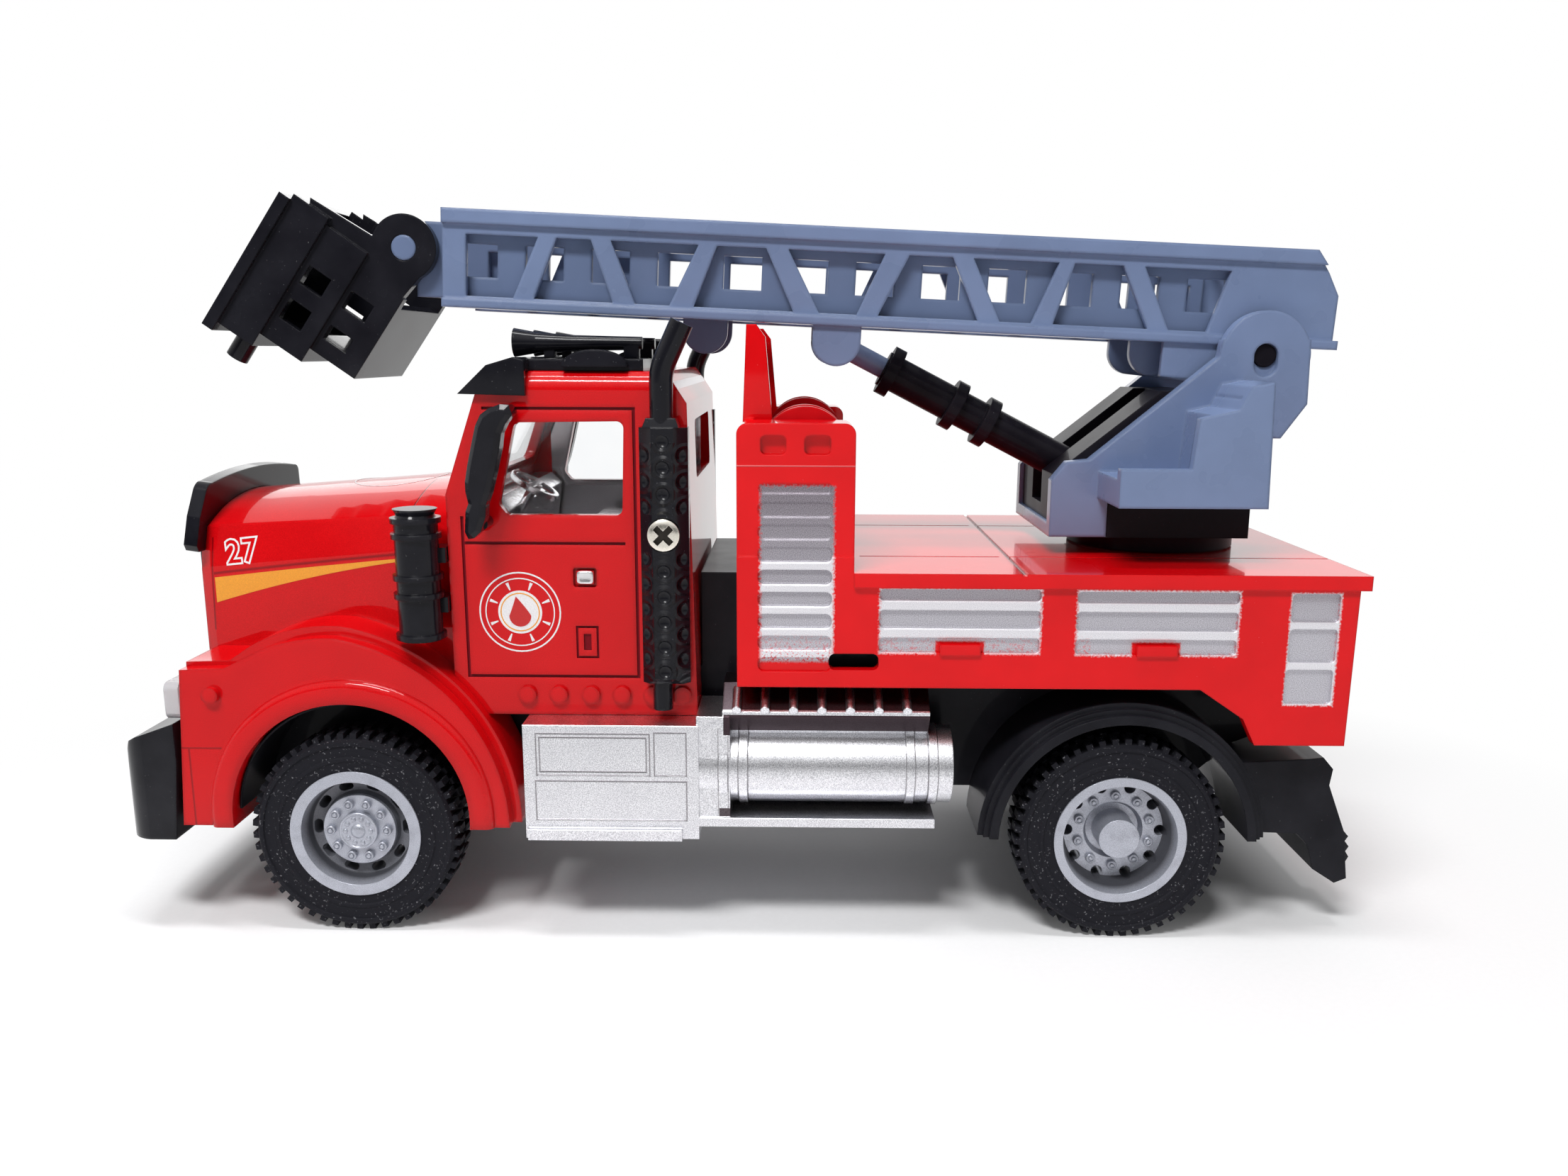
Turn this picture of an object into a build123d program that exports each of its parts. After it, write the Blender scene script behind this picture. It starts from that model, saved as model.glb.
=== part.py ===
"""Toy ladder fire engine: hooded cab, equipment body, turntable and a sliding ladder with basket.

Millimetres.  +X is forward, +Y is the left-hand side, +Z is up.  The origin lies on the ground,
under the middle of the box that bounds the whole toy at rest.
"""
from build123d import *
from math import atan2, cos, degrees, hypot, pi, radians, sin
import os

os.makedirs("parts", exist_ok=True)

# ------------------------------------------------------------------ driving dimensions
# running gear
tyre_radius = 14.0
tyre_width = 6.4
tyre_bore_radius = 8.8
wheel_outer_y = 26.0
front_axle_x = 49.1
rear_axle_x = -53.2
axle_radius = 1.5
bearing_clearance = 0.07
lug_count = 44
lug_depth = 0.7
lug_share = 0.62
nut_radius = 0.45

# cab and hood
wall = 1.5
cab_half = 22.5
groove_width = 0.4
groove_depth = 0.25
cab_rear_x = 4.2
cab_front_x = 35.6
cab_bottom_z = 29.9
cab_roof_z = 75.2
cab_floor_z = 46.0
fit_gap = 0.02
windscreen_top_x = 31.2
windscreen_top_z = 72.2
cowl_z = 59.4
hood_front_x = 70.8
hood_nose_x = 72.4
hood_bottom_z = 30.0
fender_half = 26.2
flare_half = 27.0
arch_radius = 15.8
flare_radius = 19.0
arch_centre_z = 16.6
fender_bottom_z = 15.2

# chassis
frame_half = 15.0
frame_bottom_z = 20.0
frame_top_z = 35.0

# rear body
body_half = 27.0
deck_half = 27.6
deck_rear_x = -82.3
deck_top_z = 50.3
deck_thickness = 1.9
skirt_bottom_z = 35.2
body_wall = 1.8
tower_front_x = -2.3
tower_rear_x = -17.2
tower_top_z = 69.0
crease_z = 63.5
tower_inner_y = 19.0

# turntable
turret_x = -61.9
ring_radius = 11.7
ring_top_z = 52.7
plate_inner = 10.6
plate_outer = 12.6
console_half = 23.7
frame_floor_z = 52.8
frame_floor_top = 54.6
slot_half = 3.2
pivot_x = -72.4
pivot_z = 77.4
pivot_pin_radius = 1.5
pin_clearance = 0.07

# ladder, in its own frame: u along the ladder from the lift pivot, v square to it
ladder_tilt = 2.55
rail_half = 10.4
web_half = 9.8
web_wall = 1.0
ladder_rear_u = -9.7
ladder_front_u = 111.0
ladder_bottom_v = 1.2
ladder_top_v = 14.1
inner_half = 8.2
inner_wall = 1.2
inner_front_u = 114.9
slide_gap = 0.3

# lift cylinder
cylinder_base_x = -53.0
cylinder_base_z = 59.6
tab_u = 57.3
tab_v = -0.9
tab_radius = 3.3
barrel_radius = 2.55
rod_radius = 1.5

# basket
basket_u = 116.2
basket_v = 8.7
basket_tilt = 35.0
ear_radius = 4.4


def side_plane(y, x=0.0, z=0.0, angle=0.0):
    """Upright plane at the given Y, seen from the left: x along the toy, y up, turned by angle."""
    along = (cos(radians(angle)), 0, sin(radians(angle)))
    return Plane(origin=(x, y, z), x_dir=along, z_dir=(0, -1, 0))


def ladder_plane(y):
    return side_plane(y, pivot_x, pivot_z, ladder_tilt)


def ladder_point(u, v):
    """World X and Z of a point given in the ladder's own frame."""
    t = radians(ladder_tilt)
    return pivot_x + u * cos(t) - v * sin(t), pivot_z + u * sin(t) + v * cos(t)


basket_x, basket_z = ladder_point(basket_u, basket_v)


def basket_plane(y):
    return side_plane(y, basket_x, basket_z, basket_tilt)


# the drawings measure X from midway between bumper and tail plate: the toy is stored centred on its
# whole length, tail lamps included
centring_x = 2.65


def finish(piece, name):
    stored = piece.part.moved(Location((centring_x, 0, 0)))
    stored.label = name
    export_step(stored, f"parts/{name}.step")


def finish_right(piece, name):
    with BuildPart() as other:
        mirror(piece.part, about=Plane.XZ)
    finish(other, name)


# ------------------------------------------------------------------ cab, hood and front fenders
cab_outline = [
    (cab_rear_x - 1.0, cab_bottom_z),
    (cab_rear_x, cab_roof_z - 4.0),
    (cab_rear_x + 2.6, cab_roof_z),
    (28.6, cab_roof_z),
    (windscreen_top_x, windscreen_top_z),
    (cab_front_x, cowl_z),
    (cab_front_x, cab_bottom_z),
]
door_grooves = [
    # rear x, front x, bottom z, top z
    (10.8, 30.4, 70.3, 70.3 + groove_width),
    (10.8, 10.8 + groove_width, 35.0, 70.3),
    (12.4, 33.4, 52.9, 52.9 + groove_width),
    (10.8, 33.8, 35.0, 35.0 + groove_width),
    (33.4, 33.8, 35.0, 56.6),
]
latch_outline = [
    (16.2, 19.2, 41.8, 42.1),
    (16.2, 19.2, 37.7, 38.0),
    (16.2, 16.5, 38.0, 41.8),
    (18.9, 19.2, 38.0, 41.8),
    (17.2, 18.2, 38.8, 41.0),
]
sill_rivets = [25.9, 21.7, 17.4, 13.3, 9.2, 5.2]
hood_sections = [
    # x, half width of the sides, crease z, shoulder half width, shoulder z, top z in the middle
    (hood_nose_x, 14.4, 47.9, 13.5, 53.2, 56.6),
    (hood_front_x, 15.2, 48.4, 14.4, 54.1, 57.6),
    (cab_front_x - 1.0, 20.0, 52.3, 18.8, 56.6, 60.4),
]
with BuildPart() as cab_shell:
    # cab box
    with BuildSketch(side_plane(0)):
        with BuildLine():
            Polyline(*cab_outline, close=True)
        make_face()
    extrude(amount=cab_half, both=True)
    roof_edges = cab_shell.edges().filter_by(Axis.X).group_by(Axis.Z)[-1]
    fillet(roof_edges, 2.4)
    # hood: straight sides, shoulders and a crowned top, with a bevelled nose
    for x, side, crease_z, shoulder, shoulder_z, top_z in hood_sections:
        with BuildSketch(Plane(origin=(x, 0, 0), x_dir=(0, 1, 0), z_dir=(1, 0, 0))):
            with BuildLine():
                Polyline((-shoulder, shoulder_z), (-side, crease_z), (-side, hood_bottom_z),
                         (side, hood_bottom_z), (side, crease_z), (shoulder, shoulder_z))
                ThreePointArc((shoulder, shoulder_z), (0, top_z), (-shoulder, shoulder_z))
            make_face()
    loft(ruled=True)
    # front fenders: an inner crown, a broad band and the outer flare, each side
    fender_bands = [
        # inner y, outer y, growth of the outline
        (14.0, 24.2, 1.2),
        (24.2, fender_half, 0.0),
    ]
    for inner_y, outer_y, grow in fender_bands:
        with BuildSketch(side_plane(outer_y)) as band:
            with BuildLine():
                ThreePointArc((28.2 - grow, fender_bottom_z), (35.2 - grow * 0.8, 33.0 + grow * 0.6),
                              (50.0, 41.0 + grow))
                ThreePointArc((50.0, 41.0 + grow), (56.6, 40.4 + grow), (62.0, 38.2 + grow))
                Polyline((62.0, 38.2 + grow), (64.8, 36.9 + grow * 0.5), (70.6, 36.7 + grow * 0.5),
                         (72.0, fender_bottom_z), (28.2 - grow, fender_bottom_z))
            make_face()
        extrude(amount=outer_y - inner_y)
        with BuildSketch(side_plane(-inner_y)) as band:
            with BuildLine():
                ThreePointArc((28.2 - grow, fender_bottom_z), (35.2 - grow * 0.8, 33.0 + grow * 0.6),
                              (50.0, 41.0 + grow))
                ThreePointArc((50.0, 41.0 + grow), (56.6, 40.4 + grow), (62.0, 38.2 + grow))
                Polyline((62.0, 38.2 + grow), (64.8, 36.9 + grow * 0.5), (70.6, 36.7 + grow * 0.5),
                         (72.0, fender_bottom_z), (28.2 - grow, fender_bottom_z))
            make_face()
        extrude(amount=outer_y - inner_y)
    # flares: broad lips round the arches, rolled over at their outer edge
    for side in (1, -1):
        with BuildSketch(Plane(origin=(front_axle_x, 0, arch_centre_z), x_dir=(0, 1, 0), z_dir=(1, 0, 0))):
            with BuildLine():
                Polyline((side * (flare_half - 1.1), flare_radius), (side * (fender_half - 1.0), flare_radius),
                         (side * (fender_half - 1.0), 0), (side * flare_half, 0), (side * flare_half, 17.9))
                ThreePointArc((side * flare_half, 17.9), (side * (flare_half - 0.32), flare_radius - 0.32),
                              (side * (flare_half - 1.1), flare_radius))
            make_face()
        revolve(axis=Axis((front_axle_x, 0, arch_centre_z), (0, 1, 0)))
    # wheel arches, and everything under the fenders' edge
    with BuildSketch(side_plane(flare_half + 1, front_axle_x, arch_centre_z)):
        Circle(arch_radius)
        with Locations((0, -arch_radius)):
            Rectangle(2 * arch_radius, 2 * arch_radius)
    extrude(amount=flare_half + 1 - frame_half - 1.0, mode=Mode.SUBTRACT)
    with BuildSketch(side_plane(-frame_half - 1.0, front_axle_x, arch_centre_z)):
        Circle(arch_radius)
        with Locations((0, -arch_radius)):
            Rectangle(2 * arch_radius, 2 * arch_radius)
    extrude(amount=flare_half + 1 - frame_half - 1.0, mode=Mode.SUBTRACT)
    with Locations((front_axle_x, 0, fender_bottom_z)):
        Box(60, 80, 10, align=(Align.CENTER, Align.CENTER, Align.MAX), mode=Mode.SUBTRACT)
    # channel for the chassis between the fenders
    with Locations(((cab_rear_x + 74.0) / 2, 0, frame_top_z - 0.05)):
        Box(80, 2 * frame_half + 2, 30, align=(Align.CENTER, Align.CENTER, Align.MAX), mode=Mode.SUBTRACT)
    # hollow cab
    with BuildSketch(side_plane(0)):
        with BuildLine():
            Polyline((cab_rear_x + wall, cab_floor_z), (cab_rear_x + wall, cab_roof_z - 4.0),
                     (cab_rear_x + 3.4, cab_roof_z - wall), (28.0, cab_roof_z - wall),
                     (windscreen_top_x - wall, windscreen_top_z - 0.6), (cab_front_x - wall, cowl_z),
                     (cab_front_x - wall, cab_floor_z), close=True)
        make_face()
    extrude(amount=cab_half - wall, both=True, mode=Mode.SUBTRACT)
    # side windows
    with BuildSketch(side_plane(cab_half + 1)) as side_window:
        with BuildLine():
            Polyline((12.3, 68.9), (26.3, 68.7), (28.7, 58.2), (27.6, 56.8), (12.7, 56.8), close=True)
        make_face()
        fillet(side_window.vertices(), 0.9)
    extrude(amount=2 * cab_half + 2, mode=Mode.SUBTRACT)
    # windscreen, cut square through the sloping front
    with BuildSketch(Plane.YZ.offset(24.0)):
        with Locations((0, 66.2)):
            RectangleRounded(36.0, 10.2, 1.5)
    extrude(amount=14, mode=Mode.SUBTRACT)
    # rear window
    with BuildSketch(Plane.YZ.offset(cab_rear_x - 3)):
        with Locations((0, 64.6)):
            RectangleRounded(24.0, 8.0, 1.2)
    extrude(amount=6, mode=Mode.SUBTRACT)
    # door's outline, latch plate and handle recess pressed into both sides
    for y in (cab_half, -cab_half + groove_depth):
        with BuildSketch(side_plane(y)):
            for rear_x, front_x, bottom_z, top_z in door_grooves + latch_outline:
                with Locations(((rear_x + front_x) / 2, (bottom_z + top_z) / 2)):
                    Rectangle(front_x - rear_x, top_z - bottom_z)
        extrude(amount=groove_depth, mode=Mode.SUBTRACT)
    for y in (cab_half, -cab_half + 0.7):
        with BuildSketch(side_plane(y)):
            with Locations((17.8, 48.6)):
                RectangleRounded(3.1, 2.6, 0.4)
            with Locations((17.8, 48.6)):
                Rectangle(2.3, 1.8, mode=Mode.SUBTRACT)
        extrude(amount=0.7, mode=Mode.SUBTRACT)
    # row of round heads along both sills, and the marker lamp bosses on the fenders
    for y in (cab_half + 0.6, -cab_half):
        with BuildSketch(side_plane(y)):
            for x in sill_rivets:
                with Locations((x, 32.7)):
                    Circle(1.2)
        extrude(amount=0.6)
    for y in (fender_half + 0.8, -fender_half):
        with BuildSketch(side_plane(y, 66.6, 33.4)):
            Circle(1.1)
        extrude(amount=0.8)
finish(cab_shell, "cab_shell")

# ------------------------------------------------------------------ wheels and axles
inner_wheel_y = wheel_outer_y - tyre_width
lug_turn = 2 * pi / lug_count
lug_corners = [
    # radius, turn within the lug's pitch: up one side of the lug and down the other
    (tyre_radius - lug_depth, 0.0),
    (tyre_radius, 0.04 * lug_turn),
    (tyre_radius, (lug_share - 0.04) * lug_turn),
    (tyre_radius - lug_depth, lug_share * lug_turn),
]
with BuildPart() as tyre:
    # blocked tread, right across
    with BuildSketch(Plane.XZ.offset(-wheel_outer_y + 0.7)):
        with BuildLine():
            Polyline(*[(radius * cos(i * lug_turn + turn), radius * sin(i * lug_turn + turn))
                       for i in range(lug_count) for radius, turn in lug_corners], close=True)
        make_face()
    extrude(amount=tyre_width - 0.7)
    # outer side wall, many-sided like the tread
    for y, radius in ((wheel_outer_y - 0.7, 12.9), (wheel_outer_y, 12.0)):
        with BuildSketch(Plane.XZ.offset(-y)):
            RegularPolygon(radius, lug_count)
    loft(ruled=True)
    with BuildSketch(Plane.XZ.offset(-wheel_outer_y - 1)):
        Circle(tyre_bore_radius)
    extrude(amount=tyre_width + 2, mode=Mode.SUBTRACT)

with BuildPart() as front_rim:
    with BuildSketch(Plane.YZ) as section:
        with BuildLine():
            Polyline((inner_wheel_y, axle_radius), (inner_wheel_y, tyre_bore_radius),
                     (wheel_outer_y, tyre_bore_radius), (wheel_outer_y, 7.3), (23.4, 6.8), (23.0, 5.2),
                     (24.3, 4.9), (24.3, 2.4), (24.9, 2.3), (24.9, 0), (22.6, 0), (22.6, axle_radius),
                     close=True)
        make_face()
    revolve(axis=Axis.Y)
    with BuildSketch(Plane.XZ.offset(-wheel_outer_y)) as holes:
        with PolarLocations(6.0, 10):
            SlotOverall(2.0, 1.1, rotation=90)
    extrude(amount=tyre_width, mode=Mode.SUBTRACT)
    with BuildSketch(Plane.XZ.offset(-24.7)):
        with PolarLocations(3.8, 10):
            Circle(nut_radius)
    extrude(amount=0.6)

with BuildPart() as rear_rim:
    with BuildSketch(Plane.YZ) as section:
        with BuildLine():
            Polyline((inner_wheel_y, axle_radius), (inner_wheel_y, tyre_bore_radius),
                     (wheel_outer_y, tyre_bore_radius), (wheel_outer_y, 7.6), (22.2, 6.8), (22.2, 4.0),
                     (21.2, 3.6), (21.2, 2.7), (25.4, 2.7), (25.4, 0), (23.4, 0), (23.4, axle_radius),
                     close=True)
        make_face()
    revolve(axis=Axis.Y)
    with BuildSketch(Plane.XZ.offset(-wheel_outer_y)) as holes:
        with PolarLocations(6.3, 10):
            Circle(0.75)
    extrude(amount=tyre_width, mode=Mode.SUBTRACT)
    with BuildSketch(Plane.XZ.offset(-22.6)):
        with PolarLocations(5.0, 10, start_angle=18):
            Circle(nut_radius + 0.1)
    extrude(amount=0.6)

wheel_sets = [
    # name, axle x, rim
    ("front", front_axle_x, front_rim),
    ("rear", rear_axle_x, rear_rim),
]
for name, axle_x, rim in wheel_sets:
    for side, turn in (("left", 0), ("right", 180)):
        for kind, source in (("tyre", tyre), ("rim", rim)):
            with BuildPart() as wheel_piece:
                add(Pos(axle_x, 0, tyre_radius) * Rot(0, 0, turn) * source.part)
            finish(wheel_piece, f"{name}_{kind}_{side}")
    with BuildPart() as axle:
        end_y = 22.6 if name == "front" else 23.4
        with BuildSketch(side_plane(end_y, axle_x, tyre_radius)):
            Circle(axle_radius)
        extrude(amount=2 * end_y)
    finish(axle, f"{name}_axle")

# ------------------------------------------------------------------ chassis
hole_radius = axle_radius + bearing_clearance
guard_radius = 16.4
guard_bands = [
    # inner y, outer y, outer radius: a humped crown and a narrow rolled lip
    (frame_half - 0.5, 25.6, 19.0),
    (25.6, 26.3, 18.3),
    (26.3, body_half, 17.6),
]
with BuildPart() as chassis:
    with BuildSketch(side_plane(0)) as frame_side:
        with BuildLine():
            Polyline((70.0, 24.0), (70.0, frame_top_z - 0.3), (cab_rear_x - 1.0, frame_top_z - 0.3),
                     (cab_rear_x - 1.0, 48.0), (-78.0, 48.0), (-78.0, 27.0), (rear_axle_x - 17.6, 24.0),
                     (rear_axle_x - 10.0, 17.0), (rear_axle_x - 8.0, 10.5), (rear_axle_x + 11.0, 10.5),
                     (rear_axle_x + 13.0, 17.5), (front_axle_x - 14.0, 17.5), (front_axle_x - 5.0, 10.5),
                     (front_axle_x + 5.0, 10.5), (front_axle_x + 12.0, 20.0), close=True)
        make_face()
    extrude(amount=frame_half, both=True)
    for axle_x in (front_axle_x, rear_axle_x):
        with BuildSketch(side_plane(frame_half + 1, axle_x, tyre_radius)):
            Circle(hole_radius)
        extrude(amount=2 * frame_half + 2, mode=Mode.SUBTRACT)
    # rear mudguards
    for inner_y, outer_y, radius in guard_bands:
        for y in (outer_y, -inner_y):
            with BuildSketch(side_plane(y, rear_axle_x, tyre_radius)):
                Circle(radius)
                Circle(guard_radius, mode=Mode.SUBTRACT)
                with Locations((0, -12)):
                    Rectangle(50, 25, mode=Mode.SUBTRACT)
            extrude(amount=outer_y - inner_y)
    # the belly ends square in front of the mudguards
    with Locations((rear_axle_x + 17.7, 0, 17.5)):
        Box(6.0, 2 * frame_half + 0.4, 7.0, align=(Align.CENTER, Align.CENTER, Align.MAX), mode=Mode.SUBTRACT)
    # rear bumper: a shaped block under the body's tail
    with BuildSketch(side_plane(23.0)):
        with BuildLine():
            Polyline((-69.4, 24.0), (-78.6, 24.6), (-80.4, 24.8), (-81.8, 23.2), (-81.5, 20.9),
                     (-84.1, 14.3), (-85.0, 7.6), (-83.4, 6.9), (-80.3, 8.9), (-79.3, 12.4), (-77.8, 14.0),
                     (-71.8, 14.2), (-69.4, 20.0), close=True)
        make_face()
    extrude(amount=46.0)
finish(chassis, "chassis")

# ------------------------------------------------------------------ rear equipment body
press_depth = 0.5
locker_slots = [
    # rear x, front x, bottom z, top z: shutters pressed into the sides, one row for each rib
    (-41.0, -20.5, 46.7, 48.2),
    (-41.0, -20.5, 43.1, 45.5),
    (-41.0, -20.5, 39.9, 41.9),
    (-66.1, -45.6, 46.5, 48.0),
    (-66.1, -45.6, 42.9, 45.4),
    (-66.1, -45.6, 39.8, 41.8),
    (-78.8, -72.7, 44.2, 47.9),
    (-78.8, -72.7, 38.9, 43.3),
    (-78.7, -72.6, 33.4, 38.0),
    (-14.3, -5.1, 60.3, 61.5),
]
louvre_count = 8
louvre_pitch = 2.86
louvre_top_z = 59.2
louvre_height = 1.9
door_tabs = [
    # middle x of each tab under a shutter
    -30.9,
    -56.0,
]
tower_windows = [
    # rear x, front x
    (-8.5, -5.3),
    (-14.1, -10.8),
]
deck_grooves = [
    # middle x, middle y, length, width
    (-38.7, 0.0, 0.6, 2 * deck_half),
    (-60.5, 14.7, 43.6, 0.4),
    (-60.5, -14.7, 43.6, 0.4),
    (-28.0, 14.7, 19.0, 0.4),
    (-28.0, -14.7, 19.0, 0.4),
]
with BuildPart() as rear_body:
    with BuildSketch(side_plane(0)):
        with BuildLine():
            Polyline((tower_front_x, skirt_bottom_z), (tower_front_x, deck_top_z), (-81.2, deck_top_z),
                     (-81.0, 27.8), (-69.4, 27.8), (-67.7, 31.3), (-61.9, skirt_bottom_z), close=True)
        make_face()
    extrude(amount=body_half, both=True)
    with Locations(((deck_rear_x + tower_rear_x) / 2, 0, deck_top_z)):
        Box(tower_rear_x - deck_rear_x, 2 * deck_half, deck_thickness,
            align=(Align.CENTER, Align.CENTER, Align.MAX))
    # tall lockers: the head above the crease stands in a little
    with BuildSketch(side_plane(0)):
        with Locations(((tower_rear_x + tower_front_x) / 2, (deck_top_z - 1 + crease_z) / 2)):
            Rectangle(tower_front_x - tower_rear_x, crease_z - deck_top_z + 1)
    extrude(amount=body_half, both=True)
    with BuildSketch(side_plane(0)) as head:
        with Locations(((tower_rear_x + tower_front_x) / 2, (deck_top_z - 1 + tower_top_z) / 2)):
            Rectangle(tower_front_x - tower_rear_x, tower_top_z - deck_top_z + 1)
        fillet(head.vertices().group_by(Axis.Y)[-1], 1.4)
    extrude(amount=body_half - 0.3, both=True)
    # hollow under the deck
    with Locations(((-81.0 + tower_front_x) / 2, 0, deck_top_z - deck_thickness)):
        Box(tower_front_x + 81.0 - 2 * body_wall, 2 * (body_half - body_wall), 40,
            align=(Align.CENTER, Align.CENTER, Align.MAX), mode=Mode.SUBTRACT)
    # the chassis passes through the front wall
    with Locations((tower_front_x, 0, 48.3)):
        Box(10, 2 * frame_half + 1, 30, align=(Align.CENTER, Align.CENTER, Align.MAX), mode=Mode.SUBTRACT)
    # bay between the tall lockers, open upwards and to the rear
    with Locations(((tower_rear_x + tower_front_x) / 2 - body_wall, 0, deck_top_z + 5.0)):
        Box(tower_front_x - tower_rear_x, 2 * tower_inner_y, 30,
            align=(Align.CENTER, Align.CENTER, Align.MIN), mode=Mode.SUBTRACT)
    # pressed shutters, louvres, locker windows and the slots beside the louvres
    for y in (body_half, -body_half + press_depth):
        with BuildSketch(side_plane(y)):
            for rear_x, front_x, bottom_z, top_z in locker_slots:
                with Locations(((rear_x + front_x) / 2, (bottom_z + top_z) / 2)):
                    RectangleRounded(front_x - rear_x, top_z - bottom_z, 0.55)
            for i in range(louvre_count):
                with Locations((-9.7, louvre_top_z - i * louvre_pitch - louvre_height / 2)):
                    RectangleRounded(9.4, louvre_height, 0.8)
        extrude(amount=press_depth, mode=Mode.SUBTRACT)
    for y in (body_half, -body_half + 1.3):
        with BuildSketch(side_plane(y)):
            for rear_x, front_x in tower_windows:
                with Locations(((rear_x + front_x) / 2, 66.3)):
                    RectangleRounded(front_x - rear_x, 2.4, 0.7)
        extrude(amount=1.3, mode=Mode.SUBTRACT)
    with BuildSketch(side_plane(body_half + 1)):
        with Locations((-17.3, 38.6)):
            RectangleRounded(6.4, 2.2, 0.8)
    extrude(amount=2 * body_half + 2, mode=Mode.SUBTRACT)
    for y in (body_half + 0.4, -body_half + press_depth):
        with BuildSketch(side_plane(y)):
            for x in door_tabs:
                with Locations((x, 40.3)):
                    Rectangle(5.2, 1.4)
        extrude(amount=press_depth + 0.4)
    for x, y, length, width in deck_grooves:
        with Locations((x, y, deck_top_z)):
            Box(length, width, groove_depth, align=(Align.CENTER, Align.CENTER, Align.MAX), mode=Mode.SUBTRACT)
    # ladder rest: two fins on the front wall, one each side of the ladder
    for y in (16.0, -14.5):
        with BuildSketch(side_plane(y)):
            with BuildLine():
                Polyline((-2.5, tower_top_z - 3), (-3.1, 81.2), (-4.4, 81.2), (-5.6, 79.6),
                         (-6.8, tower_top_z - 3), close=True)
            make_face()
        extrude(amount=1.5)
    # turntable bore
    with Locations((turret_x, 0, deck_top_z)):
        Hole(4.0, depth=deck_thickness + 0.5)
finish(rear_body, "rear_body")

# ------------------------------------------------------------------ turntable
with BuildPart() as turret_core:
    with Locations((turret_x, 0, deck_top_z + 0.2)):
        Cylinder(ring_radius, ring_top_z - deck_top_z - 0.2, align=(Align.CENTER, Align.CENTER, Align.MIN))
    with Locations((turret_x, 0, ring_top_z)):
        Cylinder(4.0 - pin_clearance, ring_top_z - deck_top_z + deck_thickness,
                 align=(Align.CENTER, Align.CENTER, Align.MAX))
    with Locations((-62.2, 0, ring_top_z)):
        Box(19.4, 2 * plate_outer, 5.4, align=(Align.CENTER, Align.CENTER, Align.MIN))
    # tower between the side plates, split by the slot that the lift cylinder swings in
    with BuildSketch(side_plane(0)):
        with BuildLine():
            Polyline((-45.2, frame_floor_top), (-45.2, 61.2), (-59.4, 72.6), (-66.0, 72.6), (-68.0, 58.0),
                     (-54.0, frame_floor_top), close=True)
        make_face()
    extrude(amount=plate_inner - 0.05, both=True)
    with Locations((-51.0, 0, 56.4)):
        Box(20.0, 2 * slot_half, 40.0, align=(Align.CENTER, Align.CENTER, Align.MIN), mode=Mode.SUBTRACT)
    # pin that carries the lift cylinder
    with BuildSketch(side_plane(3.4, cylinder_base_x, cylinder_base_z)):
        Circle(1.2)
    extrude(amount=6.8)
finish(turret_core, "turret_core")

with BuildPart() as turret_frame:
    for y in (plate_outer, -plate_inner):
        with BuildSketch(side_plane(y)) as plate:
            with BuildLine():
                Polyline((-44.6, 52.8), (-44.6, 60.6), (-46.6, 63.1), (-49.7, 63.4), (-66.2, 77.2),
                         (-66.6, 79.5), (-72.3, 79.5), (-78.2, 79.5), (-78.4, 71.0), (-75.2, 66.4),
                         (-72.0, 66.4), (-72.0, 58.2), (-52.4, 58.2), (-52.4, 52.8), close=True)
            make_face()
            with Locations((pivot_x, pivot_z)):
                Circle(5.9)
                Circle(pivot_pin_radius + pin_clearance, mode=Mode.SUBTRACT)
        extrude(amount=plate_outer - plate_inner)
    # keyhole recess round each end of the pin, where it is snapped in
    for y in (plate_outer, -plate_outer + 0.8):
        with BuildSketch(side_plane(y, pivot_x, pivot_z - 0.6)):
            SlotOverall(4.4, 3.2, rotation=90)
        extrude(amount=0.8, mode=Mode.SUBTRACT)
    # front floor of the channel, and the floor over the base box
    with Locations((-48.5, 0, frame_floor_z)):
        Box(7.8, 2 * plate_outer, frame_floor_top - frame_floor_z - 0.05,
            align=(Align.CENTER, Align.CENTER, Align.MIN))
    # operator's seats: stepped consoles outside both plates, hollowed to a thin outer cheek and a sill
    for outer_y, y in ((console_half, console_half), (console_half, -plate_outer)):
        with BuildSketch(side_plane(y)):
            with BuildLine():
                Polyline((-51.0, 58.2), (-51.0, 63.2), (-60.0, 63.2), (-60.6, 69.6), (-65.4, 70.7),
                         (-66.8, 73.6), (-69.6, 74.2), (-70.0, 58.2), close=True)
            make_face()
        extrude(amount=outer_y - plate_outer)
    for y in (console_half - 1.6, -plate_outer):
        with BuildSketch(side_plane(y)):
            with BuildLine():
                Polyline((-50.0, 61.8), (-50.0, 64.0), (-60.0, 64.0), (-60.0, 76.0), (-66.2, 76.0), (-66.2, 72.0),
                         (-62.4, 70.4), (-61.8, 61.8), close=True)
            make_face()
        extrude(amount=console_half - 1.6 - plate_outer, mode=Mode.SUBTRACT)
finish(turret_frame, "turret_frame")

with BuildPart() as ladder_pin:
    with BuildSketch(side_plane(plate_outer - 0.5, pivot_x, pivot_z)):
        Circle(pivot_pin_radius)
    extrude(amount=2 * plate_outer - 1.0)
finish(ladder_pin, "ladder_pin")

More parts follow.
